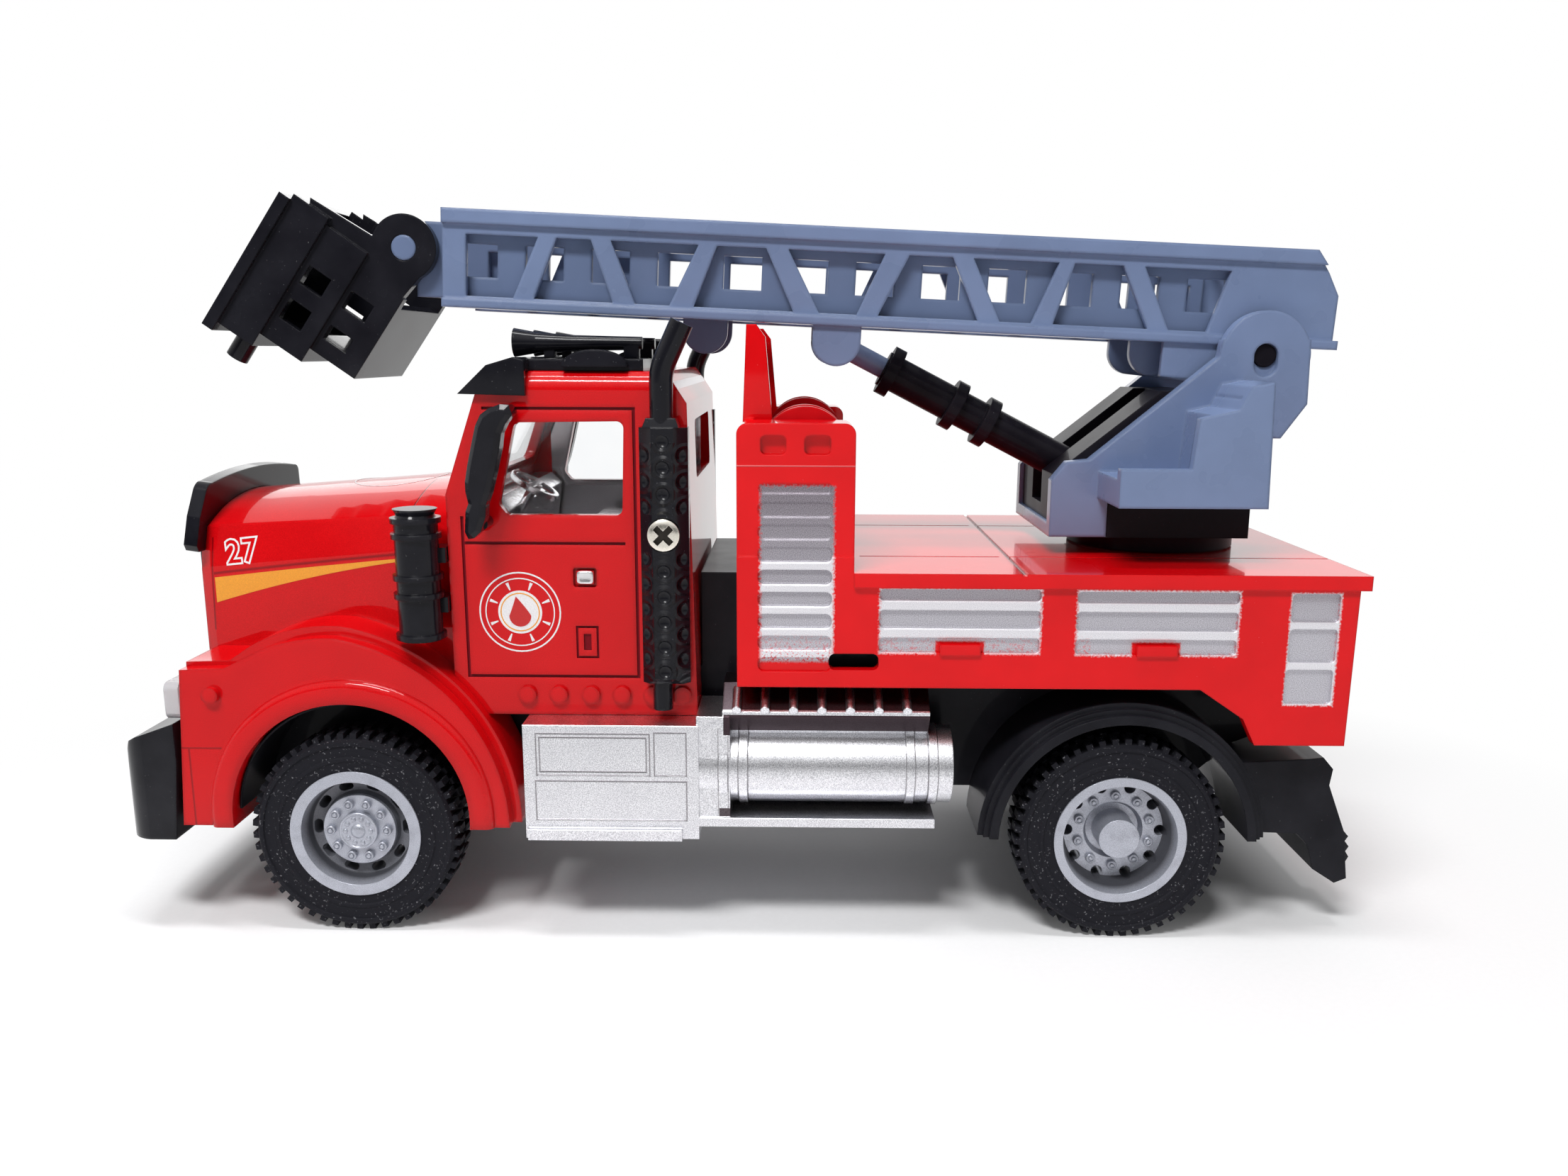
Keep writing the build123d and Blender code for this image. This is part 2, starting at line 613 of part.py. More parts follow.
# ------------------------------------------------------------------ outer ladder
strut_windows = [
    # lower u and upper u along the window's top edge, then along its bottom edge
    (98.1, 107.8, 101.4, 107.8),
    (91.0, 95.6, 87.9, 98.6),
    (76.5, 88.3, 80.2, 84.9),
    (67.4, 74.0, 63.4, 76.9),
    (51.4, 64.4, 54.8, 59.9),
    (42.3, 48.1, 38.4, 51.9),
    (28.0, 39.5, 31.1, 35.4),
    (19.4, 25.9, 15.4, 28.2),
    (4.9, 16.5, 7.3, 12.6),
]
window_top_v = 10.9
window_bottom_v = 2.8
rung_pitch = 9.0
with BuildPart() as outer_ladder:
    for y in (web_half, -web_half + web_wall):
        with BuildSketch(ladder_plane(y)):
            with BuildLine():
                Polyline((ladder_front_u, ladder_bottom_v), (ladder_front_u, ladder_top_v), (-6.1, ladder_top_v),
                         (-8.1, 11.2), (-9.7, 8.3), (ladder_rear_u, ladder_bottom_v), close=True)
            make_face()
            with BuildLine():
                Polyline((13.0, ladder_bottom_v), (13.0, -3.4), (-3.0, -4.4), (-6.0, 0), (-6.0, ladder_bottom_v),
                         close=True)
            make_face()
            with Locations((tab_u, tab_v)):
                Circle(tab_radius)
            with Locations((tab_u, 0.5)):
                Rectangle(2 * tab_radius, 2.0)
            for top_low, top_high, bottom_low, bottom_high in strut_windows:
                with BuildLine():
                    Polyline((top_low, window_top_v), (top_high, window_top_v),
                             (bottom_high, window_bottom_v), (bottom_low, window_bottom_v), close=True)
                make_face(mode=Mode.SUBTRACT)
        extrude(amount=web_wall)
    # top lips and bottom flanges
    for y in (rail_half, -web_half):
        with BuildSketch(ladder_plane(y)):
            with BuildLine():
                Polyline((ladder_front_u, 12.2), (ladder_front_u, ladder_top_v), (-6.1, ladder_top_v),
                         (-7.6, 12.2), close=True)
            make_face()
            with BuildLine():
                Polyline((ladder_front_u, ladder_bottom_v), (ladder_front_u, 2.4), (-10.2, 2.4),
                         (-10.2, ladder_bottom_v), close=True)
            make_face()
        extrude(amount=rail_half - web_half)
    # rungs across the top, and the two ledges that the inner ladder slides on
    rung_count = int((ladder_front_u - 4) / rung_pitch)
    for i in range(rung_count + 1):
        with BuildSketch(ladder_plane(web_half)):
            with Locations((2.0 + i * rung_pitch, ladder_top_v - 0.45)):
                Rectangle(1.6, 0.7)
        extrude(amount=2 * web_half)
    for y in (web_half - 0.5, -6.6):
        with BuildSketch(ladder_plane(y)):
            with Locations(((ladder_front_u + 2.0) / 2, ladder_bottom_v + 0.45)):
                Rectangle(ladder_front_u - 2.0, 0.9)
        extrude(amount=web_half - 0.5 - 6.6)
    # bosses that hold the cylinder's rod between the tabs
    for y in (web_half - web_wall, -1.8):
        with BuildSketch(ladder_plane(y)):
            with Locations((tab_u, tab_v)):
                Circle(1.3)
        extrude(amount=web_half - web_wall - 1.8)
    with BuildSketch(ladder_plane(web_half + 1)):
        Circle(pivot_pin_radius)
    extrude(amount=2 * web_half + 2, mode=Mode.SUBTRACT)
finish(outer_ladder, "outer_ladder")

# ------------------------------------------------------------------ inner ladder
hole_pitch = 9.0
tab_pads_u = [13.4, 75.5]
with BuildPart() as inner_ladder:
    for y in (inner_half, -inner_half + inner_wall):
        with BuildSketch(ladder_plane(y)):
            with BuildLine():
                Polyline((3.0, 2.4), (inner_front_u, 2.4), (inner_front_u, 12.4), (3.0, 12.4), close=True)
            make_face()
            with Locations((basket_u, basket_v)):
                Circle(3.6)
            for i in range(12):
                with Locations((7.5 + i * hole_pitch, 7.6)):
                    Rectangle(5.2, 4.4, mode=Mode.SUBTRACT)
        extrude(amount=inner_wall)
    for i in range(13):
        with BuildSketch(ladder_plane(inner_half)):
            with Locations((3.7 + i * hole_pitch, 2.9)):
                Rectangle(1.4, 1.0)
        extrude(amount=2 * inner_half)
    # pads that carry the round tabs
    for u in tab_pads_u:
        with BuildSketch(ladder_plane(inner_half)):
            with Locations((u, 2.9)):
                Rectangle(8.0, 1.0)
        extrude(amount=2 * inner_half)
    for y in (inner_half + 1.7, -inner_half + inner_wall):
        with BuildSketch(ladder_plane(y)):
            with Locations((basket_u, basket_v)):
                Circle(1.65)
        extrude(amount=1.7 + inner_wall)
finish(inner_ladder, "inner_ladder")

# two pairs of round tabs under the inner ladder's floor, to push it in and out by
with BuildPart() as slide_tabs:
    for u in tab_pads_u:
        for y in (6.2, -5.0):
            with BuildSketch(ladder_plane(y)):
                with Locations((u, -0.3)):
                    Circle(3.1)
                with Locations((u, 1.0)):
                    Rectangle(6.2, 2.6)
                with Locations((u, 2.4 - fit_gap)):
                    Rectangle(8.0, 4.0, align=(Align.CENTER, Align.MIN), mode=Mode.SUBTRACT)
            extrude(amount=1.2)
finish(slide_tabs, "slide_tabs")

# ------------------------------------------------------------------ basket
basket_wall = 1.4
basket_front_f = 15.2
basket_steps = [
    # rear f, front f, floor g, rim g, half width
    (9.8, basket_front_f, -22.8, -2.4, 11.0),
    (3.4, 9.8, -20.9, -3.4, 10.4),
    (-3.6, 3.4, -18.8, -5.8, 9.9),
]
basket_windows = [
    # rear f, front f, bottom g, top g
    (5.6, 9.0, -12.0, -9.2),
    (5.6, 9.0, -17.5, -14.4),
    (-0.8, 2.8, -11.6, -8.9),
    (-0.8, 2.8, -16.6, -14.4),
]
ear_inner_y = inner_half + slide_gap
with BuildPart() as basket:
    for rear_f, front_f, floor_g, rim_g, half in basket_steps:
        with BuildSketch(basket_plane(half)):
            with Locations(((rear_f + front_f) / 2, (floor_g + rim_g) / 2)):
                Rectangle(front_f - rear_f, rim_g - floor_g)
        extrude(amount=2 * half)
    # peg under the front of the floor
    peg_x, peg_z = basket_x + 12.2 * cos(radians(basket_tilt)), basket_z + 12.2 * sin(radians(basket_tilt))
    with BuildSketch(Plane(origin=(peg_x, 0, peg_z), x_dir=(0, 1, 0),
                           z_dir=(-sin(radians(basket_tilt)), 0, cos(radians(basket_tilt)))).offset(-26.4)):
        with Locations((7.0, 0)):
            Circle(1.5)
    extrude(amount=4.4)
    # front panel, wider and deeper than the rest
    with BuildSketch(basket_plane(11.6)):
        with Locations((basket_front_f + 0.7, -13.6)):
            Rectangle(1.6, 20.8)
    extrude(amount=23.2)
    # ears that hang the basket from the inner ladder
    for start in (ear_inner_y + basket_wall, -ear_inner_y):
        with BuildSketch(basket_plane(start)):
            Circle(ear_radius)
            with BuildLine():
                Polyline((-4.2, 0.5), (-3.2, -7.0), (3.0, -7.0), (12.0, -5.0), (13.6, -1.7), (2.0, -1.0), close=True)
            make_face()
        extrude(amount=basket_wall)
    # hollow, one level for each step of the floor
    for rear_f, front_f, floor_g, rim_g, half in basket_steps:
        with BuildSketch(basket_plane(half - basket_wall)):
            with Locations(((rear_f + basket_wall + basket_front_f) / 2, (floor_g + basket_wall + 10) / 2)):
                Rectangle(basket_front_f - rear_f - basket_wall, 10 - floor_g - basket_wall)
        extrude(amount=2 * (half - basket_wall), mode=Mode.SUBTRACT)
    # rear wall cut lower between the ears, to pass under the ladder's end
    with BuildSketch(basket_plane(ear_inner_y)):
        with Locations((-3.0, -6.3)):
            Rectangle(2.0, 2.2)
    extrude(amount=2 * ear_inner_y, mode=Mode.SUBTRACT)
    for rear_f, front_f, bottom_g, top_g in basket_windows:
        with BuildSketch(basket_plane(12)):
            with Locations(((rear_f + front_f) / 2, (bottom_g + top_g) / 2)):
                Rectangle(front_f - rear_f, top_g - bottom_g)
        extrude(amount=24, mode=Mode.SUBTRACT)
    with BuildSketch(basket_plane(12)):
        Circle(1.65 + pin_clearance)
    extrude(amount=24, mode=Mode.SUBTRACT)
finish(basket, "basket")

# ------------------------------------------------------------------ lift cylinder
rod_end_x, rod_end_z = ladder_point(tab_u, tab_v)
cylinder_length = hypot(rod_end_x - cylinder_base_x, rod_end_z - cylinder_base_z)
cylinder_angle = degrees(atan2(rod_end_z - cylinder_base_z, rod_end_x - cylinder_base_x))
barrel_length = 34.6
bore_radius = rod_radius + pin_clearance
cylinder_axis = Plane(origin=(cylinder_base_x, 0, cylinder_base_z),
                      x_dir=(0, 1, 0),
                      z_dir=(cos(radians(cylinder_angle)), 0, sin(radians(cylinder_angle))))
with BuildPart() as cylinder_barrel:
    with BuildSketch(cylinder_axis.offset(2.2)):
        Circle(barrel_radius)
    extrude(amount=barrel_length - 2.2)
    for start in (16.9, 22.2, barrel_length - 2.0):
        with BuildSketch(cylinder_axis.offset(start)):
            Circle(3.6)
        extrude(amount=1.7)
    with BuildSketch(side_plane(2.8, cylinder_base_x, cylinder_base_z)):
        Circle(2.6)
    extrude(amount=5.6)
    with BuildSketch(cylinder_axis.offset(4.5)):
        Circle(bore_radius)
    extrude(amount=barrel_length, mode=Mode.SUBTRACT)
    with BuildSketch(side_plane(3.0, cylinder_base_x, cylinder_base_z)):
        Circle(1.2 + pin_clearance)
    extrude(amount=6.0, mode=Mode.SUBTRACT)
finish(cylinder_barrel, "cylinder_barrel")

with BuildPart() as cylinder_rod:
    with BuildSketch(cylinder_axis.offset(5.5)):
        Circle(rod_radius)
    extrude(amount=cylinder_length - 5.5 - 1.6)
    with BuildSketch(side_plane(1.6, rod_end_x, rod_end_z)):
        Circle(2.0)
    extrude(amount=3.2)
    with BuildSketch(side_plane(2.0, rod_end_x, rod_end_z)):
        Circle(1.2)
    extrude(amount=4.0, mode=Mode.SUBTRACT)
finish(cylinder_rod, "cylinder_rod")

# ------------------------------------------------------------------ cab fittings
glass_gap = 0.02
with BuildPart() as cab_glazing:
    with BuildSketch(side_plane(0)):
        with BuildLine():
            Polyline((cab_rear_x + wall + glass_gap, 56.0), (cab_rear_x + wall + glass_gap, 70.6),
                     (29.2, 71.0), (33.3, 60.2), (33.3, 58.6), (29.4, 58.6), (28.4, 56.0), close=True)
        make_face()
    extrude(amount=cab_half - wall - glass_gap, both=True)
    with BuildSketch(side_plane(0)):
        with BuildLine():
            Polyline((cab_rear_x + wall + 0.9, 55.0), (cab_rear_x + wall + 0.9, 69.8),
                     (28.6, 70.2), (32.4, 60.2), (32.4, 55.0), close=True)
        make_face()
    extrude(amount=cab_half - wall - 0.9, both=True, mode=Mode.SUBTRACT)
finish(cab_glazing, "cab_glazing")

seat_places = [
    # y of the seat
    9.0,
    -9.0,
]
with BuildPart() as cab_interior:
    with Locations(((cab_rear_x + cab_front_x) / 2, 0, cab_floor_z)):
        Box(cab_front_x - cab_rear_x - 2 * wall - 0.1, 2 * (cab_half - wall) - 0.1, 1.2,
            align=(Align.CENTER, Align.CENTER, Align.MIN))
    with BuildSketch(side_plane(19.5)):
        with BuildLine():
            Polyline((33.9, 47.0), (33.9, 58.2), (30.6, 58.2), (28.8, 56.6), (30.2, 47.0), close=True)
        make_face()
    extrude(amount=39.0)
    for y in seat_places:
        with BuildSketch(side_plane(y + 6.0)):
            with BuildLine():
                Polyline((21.0, 47.0), (21.0, 53.0), (12.4, 52.4), (10.6, 64.6), (8.4, 64.6), (9.6, 47.0),
                         close=True)
            make_face()
        extrude(amount=12.0)
    # steering wheel on its column
    wheel_plane = Plane(origin=(27.2, 9.0, 58.8), x_dir=(0, 1, 0), z_dir=(-0.5, 0, 0.866))
    with BuildSketch(wheel_plane):
        Circle(3.6)
        Circle(2.9, mode=Mode.SUBTRACT)
        Rectangle(6.4, 0.9)
        Circle(1.0)
    extrude(amount=0.8)
    with BuildSketch(wheel_plane):
        Circle(0.7)
    extrude(amount=-4.0)
finish(cab_interior, "cab_interior")

with BuildPart() as grille:
    with BuildSketch(Plane.YZ.offset(hood_nose_x)):
        with Locations((0, 42.0)):
            RectangleRounded(24.0, 20.0, 2.0)
    extrude(amount=1.2)
    with BuildSketch(Plane.YZ.offset(hood_nose_x + 0.5)):
        for i in range(9):
            with Locations((-9.6 + i * 2.4, 42.0)):
                Rectangle(1.2, 17.0)
    extrude(amount=1.0, mode=Mode.SUBTRACT)
finish(grille, "grille")

with BuildPart() as headlamps:
    for y in (20.4, -20.4):
        with BuildSketch(Plane.YZ.offset(71.9)):
            with Locations((y, 31.9)):
                RectangleRounded(8.4, 5.0, 1.0)
        extrude(amount=1.9)
finish(headlamps, "headlamps")

with BuildPart() as front_bumper:
    # side view: a sloping top, a rounded brow and a front that leans out to its foot
    with BuildSketch(side_plane(0)):
        with BuildLine():
            Polyline((73.1, 13.2), (79.2, 13.2), (80.4, 13.8), (80.6, 15.0), (79.3, 25.4), (78.7, 26.7),
                     (77.5, 27.4), (72.1, 29.35), (72.1, 24.0), close=True)
        make_face()
    extrude(amount=26.4, both=True)
    # plan view: the corners are rounded back
    with BuildSketch(Plane.XY.offset(12.4)):
        with BuildLine():
            Polyline((76.6, 26.4), (72.1, 26.4), (72.1, -26.4), (76.6, -26.4))
            ThreePointArc((76.6, -26.4), (79.0, -25.2), (80.2, -22.4))
            Polyline((80.2, -22.4), (80.7, -18.0), (80.7, 18.0), (80.2, 22.4))
            ThreePointArc((80.2, 22.4), (79.0, 25.2), (76.6, 26.4))
        make_face()
    extrude(amount=18.0, mode=Mode.INTERSECT)
    with Locations((75.0, 0, 12.4)):
        Box(8.0, 20.0, 4.0, align=(Align.CENTER, Align.CENTER, Align.MIN), mode=Mode.SUBTRACT)
finish(front_bumper, "front_bumper")

# hood deflector: a band bent round the top of the nose, leaning back
deflector_plane = Plane(origin=(hood_nose_x, 0, 51.6), x_dir=(0, 1, 0), z_dir=(cos(0.14), 0, sin(0.14)))
deflector_half_thickness = 0.9
with BuildPart() as hood_deflector:
    with BuildSketch(deflector_plane):
        with BuildLine():
            Polyline((15.0, 7.5), (16.4, 3.9), (16.9, 0.0), (16.2, -0.9), (13.0, -0.9), (-13.0, -0.9),
                     (-16.2, -0.9), (-16.9, 0.0), (-16.4, 3.9), (-15.0, 7.5))
            ThreePointArc((-15.0, 7.5), (-14.4, 8.1), (-13.2, 8.4))
            ThreePointArc((-13.2, 8.4), (0, 9.4), (13.2, 8.4))
            ThreePointArc((13.2, 8.4), (14.4, 8.1), (15.0, 7.5))
        make_face()
    extrude(amount=deflector_half_thickness, both=True)
    # inside of the band, clear of the grille
    with BuildSketch(Plane.YZ.offset(hood_front_x - 3.0)):
        with BuildLine():
            Polyline((13.4, 48.0), (13.4, 52.6), (12.6, 53.4))
            ThreePointArc((12.6, 53.4), (0, 56.2), (-12.6, 53.4))
            Polyline((-12.6, 53.4), (-13.4, 52.6), (-13.4, 48.0), (13.4, 48.0))
        make_face()
    extrude(amount=9.0, mode=Mode.SUBTRACT)
    # seat on the hood
    for x, side, crease_z, shoulder, shoulder_z, top_z in hood_sections:
        with BuildSketch(Plane(origin=(x + fit_gap, 0, 0), x_dir=(0, 1, 0), z_dir=(1, 0, 0))):
            with BuildLine():
                Polyline((-shoulder - fit_gap, shoulder_z + fit_gap), (-side - fit_gap, crease_z),
                         (-side - fit_gap, hood_bottom_z), (side + fit_gap, hood_bottom_z),
                         (side + fit_gap, crease_z), (shoulder + fit_gap, shoulder_z + fit_gap))
                ThreePointArc((shoulder + fit_gap, shoulder_z + fit_gap), (0, top_z + 2 * fit_gap),
                              (-shoulder - fit_gap, shoulder_z + fit_gap))
            make_face()
    loft(ruled=True, mode=Mode.SUBTRACT)
finish(hood_deflector, "hood_deflector")

plate_z = 76.7
horn_rows = [
    # y, mouth x, tail x
    (14.0, 27.8, 10.8),
    (0.0, 28.2, 10.8),
    (-14.0, 27.8, 10.8),
]
horn_z = 78.75
with BuildPart() as roof_set:
    # plate on the roof
    with Locations((18.2, 0, cab_roof_z + fit_gap)):
        Box(16.6, 2 * cab_half - 4.0, plate_z - cab_roof_z - fit_gap, align=(Align.CENTER, Align.CENTER, Align.MIN))
    # visor, wrapped over the front corners of the cab
    with BuildSketch(side_plane(0)):
        with BuildLine():
            Polyline((24.6, 72.1), (24.6, 76.6), (26.0, 76.9), (29.4, 75.9), (33.2, 72.3), close=True)
        make_face()
    extrude(amount=cab_half + 0.8, both=True)
    with BuildSketch(side_plane(0)):
        with BuildLine():
            Polyline(*cab_outline, close=True)
        make_face()
    extrude(amount=cab_half + fit_gap, both=True, mode=Mode.SUBTRACT)
    with Locations((18.0, 0, cab_roof_z + fit_gap)):
        Box(30, 2 * cab_half, 4, align=(Align.CENTER, Align.CENTER, Align.MAX), mode=Mode.SUBTRACT)
    # low fairings beside the horns
    for y in (cab_half - 0.6, -cab_half + 2.6):
        with BuildSketch(side_plane(y, 16.0, plate_z - 1.0)):
            Ellipse(4.2, 2.2)
            with Locations((0, -2.2)):
                Rectangle(10, 4.4, mode=Mode.SUBTRACT)
        extrude(amount=2.0)
finish(roof_set, "roof_set")

# three air horns: straight trumpets flared at the mouth, each on two feet
with BuildPart() as air_horns:
    for y, mouth_x, tail_x in horn_rows:
        with BuildSketch(Plane.XZ.offset(-y)):
            with BuildLine():
                Polyline((tail_x, horn_z), (tail_x, horn_z + 0.8), (tail_x + 9.0, horn_z + 1.0),
                         (mouth_x - 3.0, horn_z + 1.35), (mouth_x, horn_z + 1.9), (mouth_x, horn_z + 1.5),
                         (mouth_x - 2.4, horn_z + 0.6), (mouth_x - 2.4, horn_z), close=True)
            make_face()
        revolve(axis=Axis((0, y, horn_z), (1, 0, 0)))
        for x, length in ((tail_x + 0.4, 2.0), (mouth_x - 5.4, 1.4)):
            with Locations((x, y, plate_z + fit_gap)):
                Box(length, 1.5, horn_z - plate_z - fit_gap, align=(Align.MIN, Align.CENTER, Align.MIN))
finish(air_horns, "air_horns")

# ------------------------------------------------------------------ exhaust stacks
shield_rear_x = 3.9
shield_front_x = 10.1
shield_bottom_z = 35.1
shield_top_z = 68.3
shield_outer_y = 26.3
shield_bevel = 1.7
dimple_radius = 1.15
dimple_pitch = 3.3
screw_z = 54.8
with BuildPart() as exhaust_left:
    # heat shield: a bevelled channel, dimpled in three columns
    with BuildSketch(Plane.XY.offset(shield_bottom_z)):
        with BuildLine():
            Polyline((shield_rear_x, cab_half + fit_gap), (shield_rear_x, shield_outer_y - shield_bevel),
                     (shield_rear_x + shield_bevel, shield_outer_y), (shield_front_x - shield_bevel, shield_outer_y),
                     (shield_front_x, shield_outer_y - shield_bevel), (shield_front_x, cab_half + fit_gap),
                     close=True)
        make_face()
    extrude(amount=shield_top_z - shield_bottom_z)
    chamfer(exhaust_left.faces().sort_by(Axis.Z)[0].edges().sort_by(Axis.Y)[-1], 0.8)
    for i in range(10):
        z = 36.9 + i * dimple_pitch
        if abs(z - screw_z) > 2.4:
            with Locations(((shield_rear_x + shield_front_x) / 2, shield_outer_y + 0.75, z)):
                Sphere(dimple_radius, mode=Mode.SUBTRACT)
    for i in range(9):
        z = 38.4 + i * dimple_pitch
        for x in (shield_rear_x + 0.3, shield_front_x - 0.3):
            if abs(z - screw_z) > 2.4:
                with Locations((x, shield_outer_y - 0.3, z)):
                    Sphere(dimple_radius, mode=Mode.SUBTRACT)
    # seat of the screw that holds the shield
    with BuildSketch(side_plane(shield_outer_y, (shield_rear_x + shield_front_x) / 2, screw_z)):
        Circle(2.2)
    extrude(amount=0.6, mode=Mode.SUBTRACT)
    # collar and stack above, tail pipe below
    with BuildSketch(Plane.XY.offset(shield_top_z)):
        with Locations((7.2, 24.5)):
            Rectangle(4.6, 3.4)
    extrude(amount=1.2, taper=20)
    with BuildLine() as pipe_path:
        Polyline((7.2, 24.5, 67.0), (7.2, 24.5, 75.4), (4.5, 24.5, 81.2))
        fillet(pipe_path.vertices().sort_by(Axis.Z)[1], 7.0)
    with BuildSketch(Plane(origin=(7.2, 24.5, 67.0), z_dir=(0, 0, 1))):
        Circle(1.5)
    sweep(path=pipe_path.line)
    with BuildSketch(Plane.XY.offset(31.4)):
        with Locations((7.6, 24.2)):
            Circle(1.3)
    extrude(amount=4.0)
finish(exhaust_left, "exhaust_left")
finish_right(exhaust_left, "exhaust_right")

# ------------------------------------------------------------------ air cleaners
with BuildPart() as cleaner_left:
    with BuildSketch(Plane.XZ) as section:
        with BuildLine():
            Polyline((39.2, 39.2), (42.0, 39.2), (42.0, 55.0), (41.6, 55.6), (42.0, 56.4), (39.2, 56.4), close=True)
        make_face()
    revolve(axis=Axis((39.2, 0, 0), (0, 0, 1)))
    for z in (39.4, 44.8, 47.2, 52.6, 54.6):
        with Locations((39.2, 0, z)):
            Cylinder(3.2, 0.7, align=(Align.CENTER, Align.CENTER, Align.MIN))
with BuildPart() as air_cleaner_left:
    add(Pos(0, 24.0, 1.4) * cleaner_left.part)
    for z in (44.0, 50.6):
        with Locations((36.9, 21.8, z)):
            Box(2.4, 3.4, 2.0, align=(Align.CENTER, Align.CENTER, Align.MIN))
finish(air_cleaner_left, "air_cleaner_left")
finish_right(air_cleaner_left, "air_cleaner_right")

# ------------------------------------------------------------------ mirrors
mirror_outline = [
    # x, z: round the arched bar from its top mount, down its front to the foot, and back up its rear
    (25.8, 71.1), (26.9, 71.2), (28.3, 70.7), (29.4, 69.9), (30.1, 68.5), (30.7, 66.1), (31.3, 63.6),
    (31.7, 61.5), (31.7, 60.3), (31.4, 58.8), (31.8, 57.8), (32.0, 55.2), (31.6, 54.3), (30.9, 54.4),
    (30.0, 55.2), (29.3, 57.1), (29.2, 58.6), (28.6, 60.2), (27.9, 62.8), (27.2, 65.7), (26.9, 67.6),
    (26.3, 68.8), (25.4, 69.9),
]
with BuildPart() as mirror_left:
    with BuildSketch(side_plane(27.6)):
        with BuildLine():
            Polyline(*mirror_outline, close=True)
        make_face()
    extrude(amount=2.6)
    chamfer(mirror_left.faces().sort_by(Axis.Y)[-1].edges(), 0.6)
    for x, z in ((26.7, 70.2), (30.3, 56.0)):
        with BuildSketch(side_plane(25.4, x, z)):
            Circle(0.8)
        extrude(amount=25.4 - cab_half - 0.02)
finish(mirror_left, "mirror_left")
finish_right(mirror_left, "mirror_right")

# ------------------------------------------------------------------ step boxes and tanks
tank_inner_y = frame_half + 0.06
tank_y = 21.8
tank_z = 23.2
tank_radius = 5.2
step_recesses = [
    # rear x, front x, bottom z, top z
    (9.2, 24.1, 23.0, 28.7),
    (4.4, 8.6, 23.0, 28.9),
    (4.4, 24.3, 16.8, 22.2),
]
with BuildPart() as tank_left:
    with Locations((14.3, tank_inner_y, 14.2)):
        Box(23.0, 12.0, cab_bottom_z - 14.25, align=(Align.CENTER, Align.MIN, Align.MIN))
    with Locations((15.2, 27.0, 14.2)):
        Box(20.4, 0.9, 1.5, align=(Align.CENTER, Align.MIN, Align.MIN))
    with BuildSketch(side_plane(27.0)):
        for rear_x, front_x, bottom_z, top_z in step_recesses:
            with Locations(((rear_x + front_x) / 2, (bottom_z + top_z) / 2)):
                RectangleRounded(front_x - rear_x, top_z - bottom_z, 0.3)
    extrude(amount=0.45, mode=Mode.SUBTRACT)
    with BuildSketch(side_plane(26.9, 17.0, 25.3)):
        Ellipse(0.7, 1.1)
    extrude(amount=0.4)
    with BuildSketch(Plane.YZ.offset(-30.6)):
        with Locations((tank_y, tank_z)):
            Circle(tank_radius)
    extrude(amount=33.6)
    for x in (-3.6, -28.6, -25.6, -1.0):
        with BuildSketch(Plane.YZ.offset(x)):
            with Locations((tank_y, tank_z)):
                Circle(tank_radius + 0.25)
        extrude(amount=1.2)
    with Locations((-12.6, tank_inner_y, 16.0)):
        Box(31.4, 12.0, 1.2, align=(Align.CENTER, Align.MIN, Align.MIN))
    with Locations((0.9, 17.0, 16.6)):
        Box(4.4, 9.6, 14.4, align=(Align.CENTER, Align.MIN, Align.MIN))
    with BuildSketch(Plane.YZ.offset(-27.4)):
        with BuildLine():
            Polyline((26.3, 30.9), (26.3, 31.6), (22.0, 34.4), (17.0, 34.4), (17.0, 28.0), (24.0, 28.0), close=True)
        make_face()
    extrude(amount=27.1)
    for i in range(7):
        with Locations(Location((-2.2 - i * 3.7, 25.0, 32.9), (65, 0, 0))):
            Cylinder(0.6, 4.4)
finish(tank_left, "tank_left")
finish_right(tank_left, "tank_right")

# ------------------------------------------------------------------ hose reel and tail lamps
reel_x = -10.9
reel_z = 64.9
with BuildPart() as hose_reel:
    with BuildSketch(side_plane(tower_inner_y, reel_x, reel_z)):
        Circle(3.8)
    extrude(amount=2 * tower_inner_y)
    for y in (18.2, 12.4, -11.2, -17.0):
        with BuildSketch(side_plane(y, reel_x, reel_z)):
            Circle(5.8)
        extrude(amount=1.2)
finish(hose_reel, "hose_reel")

with BuildPart() as tail_lamps:
    for y in (20.0, -12.0):
        with BuildSketch(side_plane(y)):
            with BuildLine():
                Polyline((-84.24, 13.4), (-85.5, 13.2), (-86.2, 12.4), (-85.8, 11.7), (-86.4, 10.9), (-86.0, 10.2),
                         (-86.5, 9.4), (-85.9, 8.2), (-84.94, 8.2), close=True)
            make_face()
        extrude(amount=8.0)
finish(tail_lamps, "tail_lamps")
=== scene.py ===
"""Looks of a toy ladder fire engine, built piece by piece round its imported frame, in metres."""
from math import pi, radians

import bpy
from mathutils import Matrix, Vector


